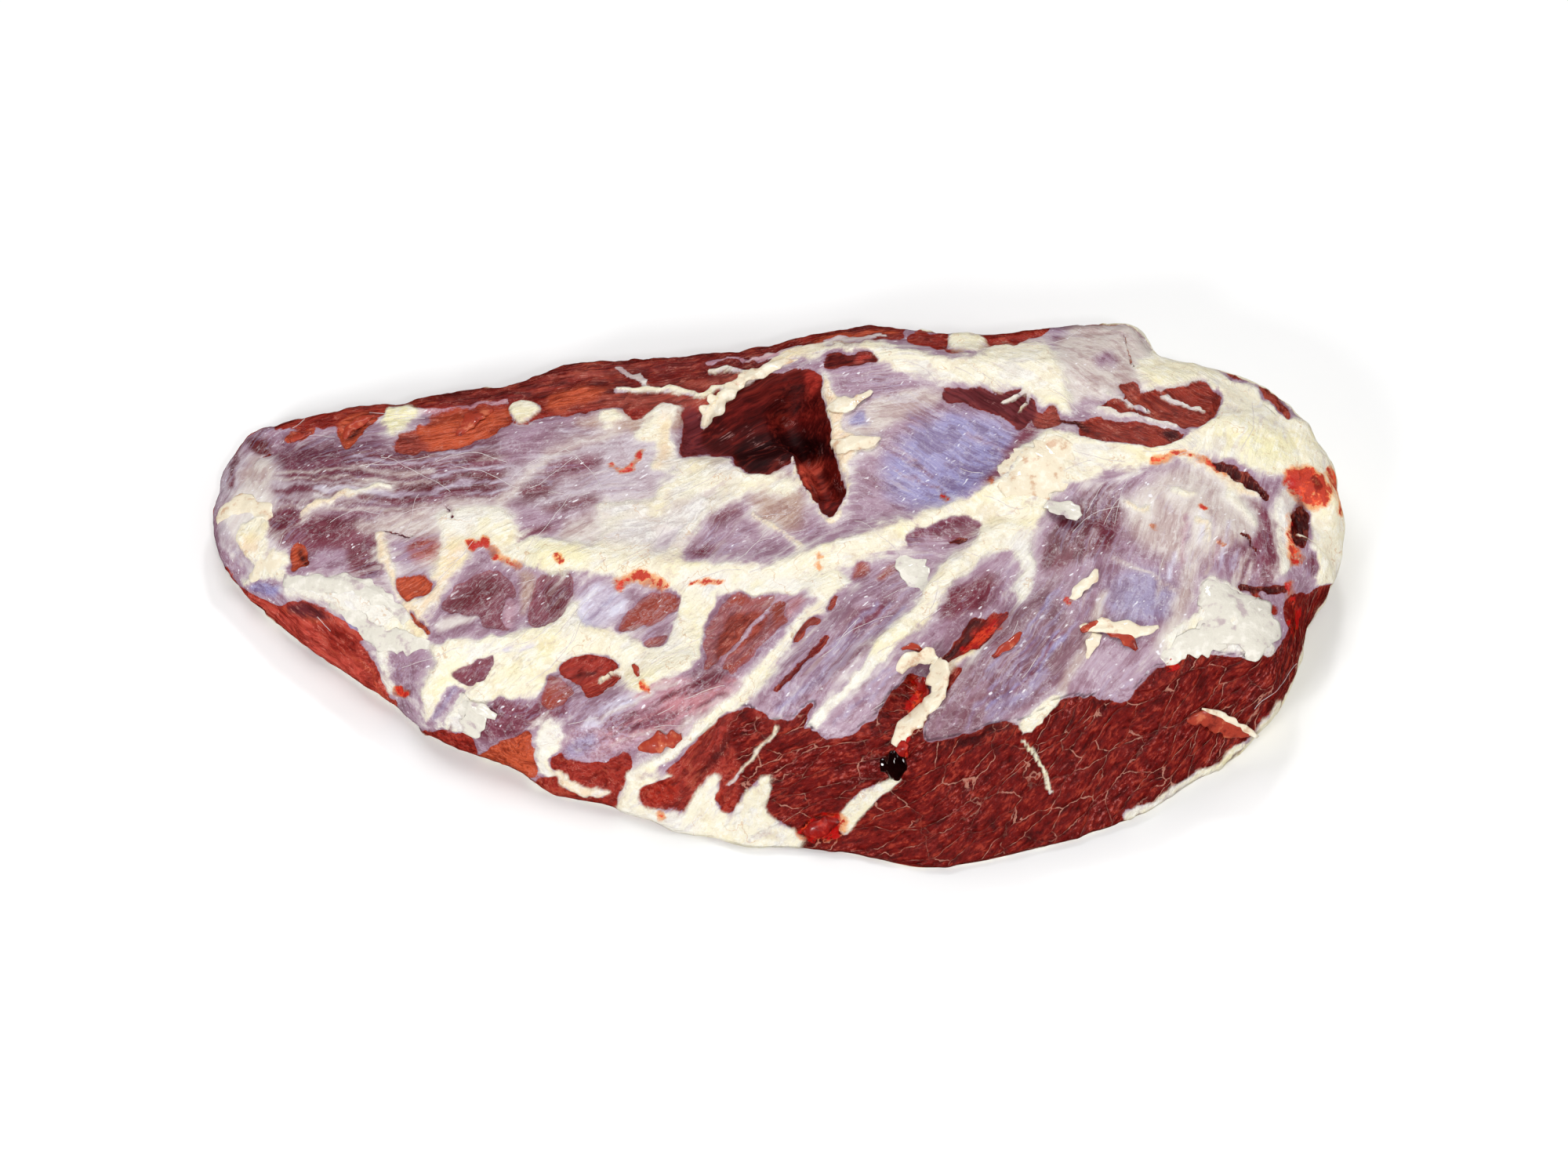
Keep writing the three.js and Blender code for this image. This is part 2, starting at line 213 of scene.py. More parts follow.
def top_height(points):
    """Height of the rib side: the thickness, sunk towards the edge, with its relief and hollows."""
    coarse_edge = np.vstack([top_edge[::3], top_edge[:1]])
    near = np.maximum(0, 1 - distance_to_line(points, coarse_edge) / DROOP_WIDTH)
    height = np.interp(points[:, 0], *zip(*THICKNESS)) - EDGE_DROOP * near ** 2
    for _, width, rise, line in RELIEF:
        height += rise * np.exp(-(distance_to_line(points, line) / width) ** 2)
    for _, width, depth, wall, line in HOLLOWS:
        height -= depth * smooth(0.5 + (width - distance_to_line(points, line)) / wall)
    return height


def coons_patch(edge, along, across):
    """Fill a closed ring of points in with a grid: rows across, columns along."""
    front = edge[:along + 1]
    right = edge[along:along + across + 1]
    back = edge[2 * along + across:along + across - 1:-1]
    left = np.vstack([edge[:1], edge[:2 * along + across - 1:-1]])
    u = np.linspace(0, 1, along + 1)[None, :, None]
    v = np.linspace(0, 1, across + 1)[:, None, None]
    corners = mix(mix(front[0], front[-1], u), mix(back[0], back[-1], u), v)
    return mix(front[None], back[None], v) + mix(left[:, None], right[:, None], u) - corners


def ring_of_grid(along, across):
    """Numbers of a grid's edge vertices, in the order of the stations."""
    row = along + 1
    front = range(along)
    right = (j * row + along for j in range(across))
    back = (across * row + i for i in range(along, 0, -1))
    left = (j * row for j in range(across, 0, -1))
    return np.array([*front, *right, *back, *left])


def grid_faces(first, along, across):
    """The squares of a grid whose vertices start at number `first`, facing up."""
    row = along + 1
    corner = first + (np.arange(across)[:, None] * row + np.arange(along)[None]).ravel()
    return np.column_stack([corner, corner + 1, corner + 1 + row, corner + row])


def rim_ring(r, edge_height):
    """The points of ring number r down the side, and how far down it lies."""
    inset, girth, tuck, crisp = station_profile.T
    if r <= UPPER_RINGS:
        down = r / UPPER_RINGS
        turn = down * math.pi / 2
        inward = inset * mix(1 - math.sin(turn), 1 - down, crisp)
        z = girth + (edge_height - girth) * mix(math.cos(turn), 1 - down, crisp)
    else:
        down = 1 + (r - UPPER_RINGS) / LOWER_RINGS
        turn = (down - 1) * math.pi / 2
        inward = tuck * (1 - math.cos(turn))
        z = girth * (1 - math.sin(turn)) * (down < 2)
    return np.column_stack([station_at + station_in * inward[:, None], z]), down


def foot_rim(ring, inner):
    """Triangles between the last ring and the edge of the coarser foot inside it."""
    triangles = []
    half = FOOT_COARSENESS // 2
    for k, near in enumerate(inner):
        far = inner[(k + 1) % len(inner)]
        outer = [ring[(k * FOOT_COARSENESS + step) % len(ring)] for step in range(FOOT_COARSENESS + 1)]
        triangles += [(outer[s + 1], outer[s], near) for s in range(half)]
        triangles += [(outer[s + 1], outer[s], far) for s in range(half, FOOT_COARSENESS)]
        triangles.append((far, outer[half], near))
    return triangles


def build_slab():
    """Vertices, faces, and for each vertex how far along the rim and how far down it lies."""
    grid = coons_patch(top_edge, SQUARES_ALONG, SQUARES_ACROSS).reshape(-1, 2)
    ring = ring_of_grid(SQUARES_ALONG, SQUARES_ACROSS)
    rim_count = len(ring)
    vertices = [np.column_stack([grid, top_height(grid)])]
    faces = [grid_faces(0, SQUARES_ALONG, SQUARES_ACROSS)]
    around = [np.zeros(len(grid))]
    around[0][ring] = np.arange(rim_count)
    down = [np.zeros(len(grid))]
    edge_height = vertices[0][ring, 2]
    total = len(grid)
    for r in range(1, UPPER_RINGS + LOWER_RINGS + 1):
        points, depth = rim_ring(r, edge_height)
        vertices.append(points)
        around.append(np.arange(rim_count, dtype=float))
        down.append(np.full(rim_count, depth))
        new = total + np.arange(rim_count)
        total += rim_count
        faces.append(np.column_stack([new, np.roll(new, -1), np.roll(ring, -1), ring]))
        ring = new
    # The foot: a coarser flat grid inside a rim that joins it to the last ring.
    every = np.arange(0, rim_count, FOOT_COARSENESS)
    foot_edge = vertices[-1][every, :2] + station_in[every] * FOOT_RIM
    along = SQUARES_ALONG // FOOT_COARSENESS
    across = SQUARES_ACROSS // FOOT_COARSENESS
    foot = coons_patch(foot_edge, along, across).reshape(-1, 2)
    vertices.append(np.column_stack([foot, np.zeros(len(foot))]))
    around.append(np.zeros(len(foot)))
    down.append(np.full(len(foot), ON_FOOT))
    faces.append(grid_faces(total, along, across)[:, ::-1])
    squares = [tuple(square) for square in np.concatenate(faces).tolist()]
    triangles = foot_rim(ring, total + ring_of_grid(along, across))
    return np.concatenate(vertices), squares + triangles, np.concatenate(around), np.concatenate(down)


def mesh_object(name, vertices_mm, faces, edges=()):
    """A mesh object at the origin from vertices in the slab's own millimetres."""
    mesh = bpy.data.meshes.new(name)
    place = (np.asarray(vertices_mm, float) - [*middle, 0]) * MM
    mesh.from_pydata(place.tolist(), edges, faces)
    mesh.update()
    piece = bpy.data.objects.new(name, mesh)
    bpy.context.scene.collection.objects.link(piece)
    return piece


def shade_smooth(mesh):
    mesh.polygons.foreach_set("use_smooth", [True] * len(mesh.polygons))


# Large odd numbers that scramble a place of the lattice and a seed into a chance value.
PLACE_SCRAMBLE = np.array([73856093, 19349663, 83492791])
SEED_SCRAMBLE = 2654435761
SCRAMBLES = ((13, 1274126177), (15, 2246822519))
LOW_32_BITS = 0xFFFFFFFF
LOW_24_BITS = 0xFFFFFF


def lattice_noise(points, size, seed):
    """Smooth noise between -1 and 1 with features about `size` across, the same on every run."""
    scaled = points / size + 1000.0 + seed * 17.3
    cell = np.floor(scaled).astype(np.int64)
    part = smooth(scaled - cell)
    total = np.zeros(len(points))
    dimensions = points.shape[1]
    for corner in range(2 ** dimensions):
        offset = np.array([(corner >> axis) & 1 for axis in range(dimensions)])
        mixed = (cell + offset) @ PLACE_SCRAMBLE[:dimensions] + seed * SEED_SCRAMBLE
        for shift, factor in SCRAMBLES:
            mixed = (mixed ^ (mixed >> shift)) * factor & LOW_32_BITS
        value = (mixed & LOW_24_BITS) / (LOW_24_BITS // 2) - 1
        total += value * np.prod(np.where(offset, part, 1 - part), axis=1)
    return total


def fractal_noise(points, size, seed, octaves=3):
    return sum(lattice_noise(points, size / 2 ** n, seed + n) / 2 ** n for n in range(octaves)) / 1.5


vertices, faces, around, down = build_slab()

# The photographer's view, in the slab's millimetres: it looks over the cut front edge, down at the rib side.
ELEVATION = math.radians(52)
DISTANCE = 1700.0
TARGET = np.array([0.0, 0.0, 30.0])
LENS, SENSOR = 70.0, 36.0
PHOTO_WIDTH, PHOTO_HEIGHT = 2000, 1500
view_ahead = np.array([0, math.cos(ELEVATION), -math.sin(ELEVATION)])
view_up = np.array([0, math.sin(ELEVATION), math.cos(ELEVATION)])
view_right = np.array([1.0, 0, 0])
eye = TARGET - DISTANCE * view_ahead
focal_px = LENS / SENSOR * PHOTO_WIDTH


def to_pixels(points):
    away = points - eye
    depth = away @ view_ahead
    return np.column_stack([PHOTO_WIDTH / 2 + focal_px * (away @ view_right) / depth,
                            PHOTO_HEIGHT / 2 - focal_px * (away @ view_up) / depth])


# Colours of meat, as they look in soft white light.
SWATCHES = {
    "silver": (0.70, 0.60, 0.66), "silver blue": (0.58, 0.55, 0.72), "silver grey": (0.74, 0.68, 0.71),
    "lilac": (0.64, 0.52, 0.59), "strand": (0.46, 0.25, 0.31), "purple": (0.50, 0.27, 0.33),
    "plum": (0.45, 0.21, 0.26), "milk": (0.81, 0.76, 0.73), "honey": (0.69, 0.57, 0.51),
    "pink sheen": (0.74, 0.50, 0.53),
    "cut meat": (0.46, 0.08, 0.065), "back meat": (0.58, 0.15, 0.11), "side meat": (0.64, 0.19, 0.15),
    # The colour named for dark meat also serves as painted shade in slits, pits, tears and shadows.
    "dark meat": (0.30, 0.05, 0.05), "pit": (0.19, 0.03, 0.04), "window": (0.62, 0.26, 0.21),
    "raw orange": (0.79, 0.34, 0.21), "pocket": (0.86, 0.35, 0.27), "wet red": (0.64, 0.15, 0.09),
    "cream": (0.95, 0.92, 0.83), "yellow": (0.95, 0.92, 0.74), "white": (0.93, 0.91, 0.87),
    "peach": (0.94, 0.84, 0.72), "rim fat": (0.94, 0.91, 0.80), "rust": (0.60, 0.25, 0.19),
    "maroon": (0.42, 0.17, 0.19), "hollow red": (0.38, 0.08, 0.06), "plum meat": (0.48, 0.12, 0.10),
    "window meat": (0.58, 0.19, 0.14), "milk white": (0.85, 0.81, 0.79),
    "vein": (0.22, 0.16, 0.24), "pale blue": (0.63, 0.58, 0.70), "finger shade": (0.57, 0.44, 0.48),
    "pink silver": (0.72, 0.56, 0.61), "window plum": (0.51, 0.27, 0.32), "window dark": (0.41, 0.14, 0.18),
    "wall meat": (0.78, 0.30, 0.25), "frost": (0.82, 0.80, 0.87),
}

# What lies where on the rib side and the cut face, laid down one over another in this order. Points are
# pixels of the photographed view. A width of 0 marks an area, and any other is a line's half width. The
# number after it says how soft the edge is.
VEIL, BARE, FAT, BLOOD = "veil", "bare", "fat", "blood"
SOFT, BROAD = 6, 16


def px(text):
    """Points of the view, written as pairs of x,y."""
    return [tuple(map(float, pair.split(","))) for pair in text.split()]


def evenly(line, count):
    """A line of points given again as `count` points, spread evenly over its spans."""
    share = np.linspace(0, 1, count)
    return np.column_stack([np.interp(share, np.linspace(0, 1, len(line)), column) for column in zip(*line)])


def fanned(name, kind, swatches, first, last, count, widest=2.2):
    """Strands side by side between two lines, each of its own length, width and tone."""
    chance = np.random.default_rng(count * 7 + len(name))
    first, last = evenly(first, 9), evenly(last, 9)
    strands = []
    for k in range(count):
        line = mix(first, last, (k + chance.random()) / count)
        start = int(chance.integers(0, 6))
        stop = start + int(chance.integers(3, 7))
        swatch = swatches[int(chance.integers(len(swatches)))]
        strands.append((name, kind, swatch, chance.uniform(0.6, widest), 3, line[start:stop].tolist()))
    return strands


COVERING = [
    ("thin end's strands", VEIL, "strand", 0, BROAD,
     px("330,570 430,560 520,575 720,535 800,560 830,600 740,640 640,635 460,650 400,640 350,650")),
    ("grey end", VEIL, "silver grey", 0, 10, px("290,580 320,572 350,582 368,612 366,650 300,640 282,655")),
    ("purple below the strands", VEIL, "purple", 0, 10,
     px("345,650 480,655 500,680 495,740 400,740 388,700 340,690")),
    *fanned("dark strands of the thin end", VEIL, ("plum", "maroon", "purple"),
            px("350,585 430,572 520,585 600,572 680,552 770,548"),
            px("350,652 430,652 500,655 580,642 660,634 750,620"), 26, 3.2),
    *fanned("pale strands of the thin end", VEIL, ("milk", "silver grey", "frost"),
            px("350,580 430,568 520,582 600,570 680,550 790,545"),
            px("350,655 430,655 500,658 580,645 660,636 760,620"), 16, 1.0),
    ("plum strands 1", VEIL, "plum", 0, 8, px("380,670 430,655 460,662 440,690 400,700")),
    ("dark strands of the end", VEIL, "plum", 0, 7, px("345,655 372,648 380,660 372,690 350,694 342,675")),
    ("blue under the thin end", VEIL, "lilac", 0, 7, px("402,700 432,700 445,712 440,738 402,738 392,715")),
    ("plum corner", VEIL, "plum", 0, 6, px("440,700 470,690 486,700 496,728 480,740 450,730")),
    ("milky sheet, left", VEIL, "milk", 0, 12,
     px("440,668 560,642 640,640 660,660 650,690 520,690 490,680")),
    ("silver of the middle", VEIL, "silver grey", 0, 16,
     px("640,590 720,545 850,545 900,590 880,640 720,650 650,640")),
    ("shade of the middle 3", VEIL, "plum", 0, 8, px("655,622 690,606 712,618 690,634 662,636")),
    ("pale fan of the middle", VEIL, "milk", 5, 8, px("640,640 680,600 720,570 790,548")),
    ("shade of the middle 2", VEIL, "lilac", 0, 12, px("640,545 700,540 720,560 660,590 640,580")),
    ("shade of the middle 1", VEIL, "purple", 0, 10, px("700,590 760,575 770,592 720,612 690,608")),
    ("beige sheet", VEIL, "honey", 0, 10, px("720,532 870,512 885,520 862,560 760,545")),
    ("milky sheet, middle", VEIL, "milk", 0, 14,
     px("735,655 900,610 960,605 1010,620 905,650 860,720 800,716 690,694")),
    ("white of the milky sheet", FAT, "milk white", 0, 9,
     px("850,640 890,640 880,670 862,712 810,712 760,700 770,676")),
    ("grey blue in the milky sheet", VEIL, "silver grey", 0, 12, px("820,690 870,660 880,690 850,715")),
    ("lilac right of it", VEIL, "lilac", 0, 14,
     px("905,650 960,640 1060,665 1080,680 1010,705 930,715 910,690")),
    ("plum shade", VEIL, "purple", 0, 8, px("905,655 930,645 955,650 910,675")),
    ("honey web", VEIL, "honey", 0, 12, px("958,600 1010,598 1030,640 1020,672 992,676 962,660")),
    ("honey thread", FAT, "peach", 2.5, 4, px("962,655 1020,696")),
    ("shaded strip 1", VEIL, "purple", 0, 6, px("655,680 700,663 700,677 665,692")),
    ("brown strand patch", VEIL, "plum", 0, 9, px("690,640 760,628 770,642 700,655")),
    ("blue sheet's grey end", VEIL, "lilac", 0, 14,
     px("1060,478 1120,480 1130,560 1150,600 1150,670 1085,680 1085,600")),
    ("blue sheet", VEIL, "silver blue", 0, 16,
     px("1120,590 1190,530 1240,525 1290,545 1300,570 1235,640 1190,652 1140,640")),
    ("plum brow of the blue sheet", BARE, "maroon", 0, 8,
     px("1165,500 1200,490 1260,490 1310,505 1332,545 1318,572 1300,560 1285,535 1250,515 1190,510")),
    *fanned("streaks of the blue sheet", VEIL, ("pale blue", "purple", "silver blue", "silver blue", "lilac"),
            px("1175,502 1240,530 1310,562"), px("1080,600 1120,628 1165,652"), 15, 1.8),
    ("plum edge of the blue sheet", VEIL, "purple", 8, 8, px("1318,545 1262,615")),
    ("milky fan", VEIL, "milk", 0, 7, px("1080,540 1110,512 1190,492 1210,502 1105,560 1078,556")),
    ("blue in the fan", VEIL, "silver blue", 0, 5, px("1085,530 1105,522 1108,542 1085,545")),
    ("finger A", VEIL, "pink silver", 0, 10,
     px("712,948 770,900 845,862 940,862 960,862 940,895 890,930 760,970 722,968")),
    ("pink of finger A", VEIL, "pink sheen", 0, 10, px("840,890 890,865 935,868 920,895 880,915 850,915")),
    ("milky back of finger A", VEIL, "frost", 0, 8, px("735,925 760,900 800,882 822,884 812,902 750,932")),
    ("blue foot of finger A", VEIL, "pale blue", 0, 8, px("722,965 720,950 752,930 762,946 748,966")),
    ("plum of finger A", VEIL, "purple", 0, 8, px("755,930 800,915 860,905 870,925 800,940")),
    *fanned("strands of finger A", VEIL, ("frost", "purple", "milk", "plum", "pink sheen"),
            px("740,925 800,885 870,860 940,862"), px("750,968 850,942 900,915 950,880"), 16, 2.4),
    ("finger C", VEIL, "silver", 0, 9,
     px("965,905 1030,848 1100,762 1165,758 1160,785 1045,892 1010,918 972,918")),
    ("blue streak of finger C", VEIL, "pale blue", 7, 9, px("1115,775 1040,865 1000,900")),
    ("plum of finger C", VEIL, "purple", 0, 9, px("1075,790 1110,765 1150,765 1120,800 1085,815")),
    *fanned("strands of finger C", VEIL, ("pale blue", "purple", "lilac", "silver blue"),
            px("968,900 1030,848 1075,795 1105,765"), px("1012,916 1080,858 1125,815 1160,775"), 14, 2.0),
    ("finger D", VEIL, "silver", 0, 7,
     px("1040,922 1090,865 1125,845 1160,850 1165,868 1095,932 1060,942")),
    ("finger E", VEIL, "finger shade", 0, 10,
     px("1172,938 1215,870 1320,745 1360,720 1410,760 1400,800 1330,900 1190,946")),
    ("shade of finger E", VEIL, "finger shade", 0, 14, px("1230,850 1290,790 1340,760 1370,800 1300,860")),
    ("blue streak of finger E", VEIL, "pale blue", 6, 8, px("1330,860 1265,920")),
    *fanned("strands of finger E", VEIL, ("pale blue", "finger shade", "purple", "silver blue", "lilac"),
            px("1185,925 1215,880 1255,830 1300,775 1340,735"),
            px("1265,925 1320,885 1365,830 1395,790 1405,765"), 24, 2.2),
    *fanned("strands of finger D", VEIL, ("pale blue", "frost", "finger shade"),
            px("1045,915 1090,866 1120,848"), px("1095,930 1130,900 1163,868"), 8, 1.8),
    ("purple head of finger E", VEIL, "plum", 0, 7,
     px("1198,778 1216,748 1262,725 1276,738 1268,765 1240,782 1200,792")),
    ("finger F", VEIL, "silver", 0, 8,
     px("1352,888 1372,850 1400,825 1450,815 1485,830 1460,870 1435,897")),
    ("purple field", VEIL, "plum", 0, 10,
     px("1318,725 1345,665 1380,630 1430,625 1432,665 1415,710 1360,730")),
    ("silver field", VEIL, "lilac", 0, 12,
     px("1340,740 1400,705 1540,700 1630,690 1620,750 1540,745 1520,790 1360,800")),
    ("blue of the field", VEIL, "pale blue", 0, 14,
     px("1405,740 1450,720 1500,745 1510,780 1470,800 1420,792")),
    ("milky field", VEIL, "milk", 0, 13,
     px("1430,640 1470,605 1540,590 1590,620 1610,680 1520,720 1440,690")),
    ("purple band of the end", VEIL, "purple", 0, 7,
     px("1585,628 1612,645 1635,665 1638,700 1630,748 1598,745 1592,690 1605,670")),
    ("purple in the field 2", VEIL, "purple", 0, 7, px("1568,690 1592,700 1590,748 1572,740")),
    *fanned("strands of the end field", VEIL, ("milk", "lilac", "purple", "frost", "pink silver"),
            px("1490,640 1485,700 1475,780"), px("1622,660 1614,700 1600,745"), 18, 2.4),
    ("milky seam 4", VEIL, "milk", 6, 6, px("1408,760 1392,815 1352,885")),
    ("milky seam 5", VEIL, "milk", 9, 9, px("1525,700 1500,800 1480,820")),
    ("grey top corner", VEIL, "milk", 0, 8,
     px("1340,415 1450,400 1470,450 1560,465 1560,490 1400,500 1340,520")),
    ("purple of the top corner", VEIL, "lilac", 0, 9, px("1392,455 1420,445 1432,460 1405,472")),
    ("back meat", BARE, "back meat", 0, SOFT,
     px("336,500 440,470 720,410 900,400 1060,380 1150,380 1160,436 1100,438 1055,440 980,462 950,478 "
        "900,526 880,520 845,518 820,535 795,530 785,518 700,532 665,548 640,535 560,520 400,548 345,556")),
    *fanned("strands of the back", BARE, ("back meat", "plum meat", "window", "dark meat", "cut meat"),
            px("440,508 600,490 750,462 900,452 1060,432"),
            px("440,540 600,512 700,512 850,505 930,490"), 34, 2.0),
    ("dark rim of the back", BARE, "plum meat", 6, 6, px("460,514 655,492 720,468 900,458 1000,444")),
    ("plum of the back", BARE, "plum meat", 0, 5,
     px("780,470 1000,440 1060,420 1150,412 1150,434 1060,441 965,468 940,482 800,482")),
    ("rust band of the back 1", BARE, "window", 4, 4, px("850,491 935,484 955,474")),
    ("rust band of the back 2", BARE, "window", 2.5, 3, px("700,480 820,470")),
    ("rust band of the back 3", BARE, "raw orange", 2, 3, px("1040,430 1145,424")),
    ("lighter muscle of the back", BARE, "window", 0, 7,
     px("700,515 735,500 935,500 915,516 760,518 700,530")),
    ("rust muscle of the back", BARE, "raw orange", 0, 7, px("690,505 735,492 780,490 760,512 700,525")),
    ("rim meat right", BARE, "back meat", 0, 4, px("1150,432 1180,420 1215,425 1212,440 1180,441")),
    ("rim meat right 2", BARE, "back meat", 0, 4,
     px("1203,440 1240,436 1262,425 1345,412 1330,428 1258,453 1205,450")),
    ("pale thread 1", VEIL, "milk", 2.2, 2.5, px("785,468 822,488")),
    ("pale thread 2", FAT, "rim fat", 2.4, 2.5, px("785,496 830,493 865,501 905,500 940,492")),
    ("pale thread 3", FAT, "rim fat", 1.6, 2.5, px("905,475 965,470")),
    ("pale thread 4", VEIL, "milk", 2, 3, px("1000,447 1060,432 1130,430")),
    ("pale thread 5", VEIL, "pink sheen", 2, 3, px("900,465 1040,441")),
    ("pale thread 6", VEIL, "pink sheen", 2, 3, px("530,526 645,514")),
    ("rust window", BARE, "raw orange", 0, SOFT,
     px("520,545 570,522 655,520 650,542 568,574 546,578 545,560")),
    ("brown window", BARE, "window", 0, SOFT, px("500,558 520,545 545,560 548,575 515,580")),
    ("notch window", BARE, "raw orange", 0, SOFT, px("430,545 440,530 480,526 478,540 448,572 436,574")),
    ("notch", BARE, "dark meat", 4, 4, px("472,532 446,556")),
    ("orange tear of the end", BARE, "raw orange", 0, 4, px("362,560 400,547 404,554 368,568")),
    ("dark end", VEIL, "maroon", 0, 5, px("316,560 345,560 352,572 345,582 322,580")),
    ("fat of the end", VEIL, "milk white", 0, 8,
     px("279,662 303,622 325,616 345,626 352,645 326,690 305,702 288,688")),
    ("fold of the end", FAT, "cream", 0, 3, px("304,670 336,652 346,662 340,688 326,710 311,708 304,690")),
    ("plum edge of the end", VEIL, "plum", 3, 4, px("302,572 296,620")),
    ("grey film of the end", VEIL, "milk", 0, 9, px("312,590 335,582 350,595 345,620 325,628 306,618")),
    ("peach tip", FAT, "peach", 0, 5, px("306,690 330,680 328,705 310,714")),
    ("end streak", FAT, "peach", 3.5, 4, px("378,657 418,636 440,632")),
    ("end streak's thin part", FAT, "white", 1.8, 3, px("440,632 496,620")),
    ("fat wedge", FAT, "cream", 0, SOFT, px("326,704 372,702 362,737 340,730 322,742 312,742")),
    ("blue rim", VEIL, "silver grey", 5, 4, px("284,672 318,730")),
    ("blue gap", VEIL, "silver blue", 0, 5, px("322,742 352,741 360,750 345,760 326,756")),
    ("red wedge", BARE, "raw orange", 0, 4, px("370,694 380,690 392,705 390,722 362,734 370,715")),
    ("red wedge's shadow", BARE, "dark meat", 4, 4, px("381,702 387,720")),
    ("plum patch", VEIL, "plum", 0, 6, px("345,650 370,645 382,660 360,668 345,664")),
    ("milky end sheet", FAT, "white", 0, 8, px("560,650 655,645 655,690 610,690 560,682")),
    ("side wall", BARE, "wall meat", 0, 5,
     px("262,680 300,735 342,776 372,764 402,762 442,788 468,822 478,850 505,890 500,930 380,860 260,740")),
    *fanned("strands of the side wall", BARE, ("side meat", "wall meat", "raw orange", "wall meat"),
            px("322,765 400,780 450,805 480,850 500,900"), px("300,745 380,830 440,865 500,930"), 14, 2.6),
    ("hollow of the side wall", BARE, "maroon", 0, 5, px("366,768 402,765 432,790 410,790 372,778")),
    ("dark middle of the wall", BARE, "side meat", 0, 8, px("405,790 440,795 465,825 440,840 410,820")),
    ("white band", FAT, "white", 0, SOFT,
     px("360,738 438,738 490,760 500,776 532,800 545,822 495,822 460,801 462,790 405,760 370,762")),
    ("white band's spur", FAT, "white", 5, 4, px("484,815 500,878")),
    ("slate gap by the band", VEIL, "silver blue", 0, 4, px("440,786 456,790 470,806 474,818 446,800")),
    ("pale ribbon", FAT, "peach", 5, 5, px("484,684 534,802")),
    ("brown hole", VEIL, "window", 0, 6, px("520,694 545,686 566,694 568,714 545,724 524,714")),
    ("peach web", FAT, "peach", 0, 8,
     px("560,690 590,692 600,712 572,742 545,800 532,796 530,770 548,752")),
    ("orange of the web 1", BARE, "raw orange", 0, 4,
     px("506,740 522,730 540,733 553,746 548,757 530,760 520,772")),
    ("orange of the web 3", BARE, "raw orange", 3, 3, px("529,786 543,800")),
    ("lilac below the fat", VEIL, "lilac", 0, 8, px("500,830 530,820 560,824 540,875 520,882 500,860")),
    ("thin end's fat", FAT, "cream", 0, SOFT,
     px("545,822 580,818 700,797 722,768 742,790 815,826 850,822 868,800 872,768 885,745 915,758 895,825 "
        "885,850 822,880 800,878 780,846 745,838 720,846 688,890 640,892 605,905 580,935 548,932 532,895 "
        "540,870 560,850")),
    ("upper window of the thin end", BARE, "window plum", 0, 3,
     px("562,770 575,754 616,730 628,727 642,734 660,764 660,801 639,806 614,804 612,790 600,784 568,784")),
    ("its dark heart", BARE, "window dark", 0, 8, px("568,773 582,756 624,735 640,746 632,760 585,781")),
    ("sheen of the window", VEIL, "pink silver", 0, 8, px("640,768 654,760 661,785 654,800 640,792")),
    ("lilac under the window", VEIL, "lilac", 0, 6,
     px("548,806 560,796 600,796 614,806 655,806 640,812 580,816")),
    ("milky wedge under the window", VEIL, "milk white", 0, 4, px("554,792 600,784 612,789 558,804")),
    ("grey between the windows", VEIL, "honey", 0, 6, px("660,732 680,730 684,750 670,785 664,768")),
    ("second window", BARE, "window plum", 0, 3,
     px("684,736 700,722 733,732 733,752 722,778 704,793 684,797 673,790")),
    ("second window's heart", BARE, "window dark", 0, 7, px("694,740 728,742 722,770 704,782 690,770")),
    ("silver under the long seam", VEIL, "frost", 0, 8,
     px("736,756 775,750 798,758 802,775 786,795 752,806 733,800")),
    ("blue streaks under the seam", VEIL, "pale blue", 2, 5, px("744,800 782,762")),
    ("fat between the windows", FAT, "cream", 0, 6, px("728,790 735,760 745,800 740,830 710,840 700,800")),
    ("fold in the fat 1", VEIL, "frost", 3, 7, px("642,832 700,815")),
    ("yellow fold in the fat", FAT, "yellow", 6, 8, px("686,852 702,815")),
    ("purple window low 1", BARE, "window plum", 0, 3,
     px("577,858 583,849 631,836 627,850 618,876 598,878")),
    ("purple window low 2", VEIL, "lilac", 0, 4,
     px("541,928 556,890 574,874 596,880 600,886 560,932 548,934")),
    ("blue of the low window", VEIL, "pale blue", 3, 5, px("552,912 580,880")),
    ("purple between", BARE, "window plum", 0, 3, px("566,932 594,896 606,892 580,934")),
    ("milky streak low", FAT, "white", 1.6, 3, px("548,934 600,888")),
    ("purple window low 3", VEIL, "purple", 0, 6,
     px("605,928 632,890 655,900 690,895 700,870 715,862 735,890 722,910 690,930 612,945")),
    ("pinkish muscle by the pit", BARE, "rust", 0, 4,
     px("688,898 696,876 708,862 732,880 726,898 708,908 694,908")),
    ("torn white", FAT, "white", 0, 4, px("580,908 598,905 605,938 590,936 576,925")),
    ("rim meat 1", BARE, "side meat", 0, 3, px("541,926 560,928 600,940 610,948 608,975 530,950")),
    ("rim meat 2", BARE, "raw orange", 0, 4, px("610,962 625,948 665,934 678,930 688,968 690,995 600,990")),
    ("fat tongue", FAT, "white", 0, 5,
     px("682,938 698,922 720,932 702,972 714,988 700,1000 686,988 690,962")),
    ("low meat", BARE, "side meat", 0, 5,
     px("700,968 716,952 730,970 765,970 800,958 815,985 792,1010 802,1040 740,1035 690,1015 680,990 "
        "710,990")),
    ("fat tongue of the low meat", FAT, "peach", 5, 4, px("714,985 726,1002 768,1012")),
    ("long fat seam", FAT, "cream", 16, 7,
     px("650,700 850,734 950,738 1000,735 1100,698 1250,648 1300,640")),
    ("yellow of the long seam", FAT, "yellow", 7, 9, px("690,705 735,715")),
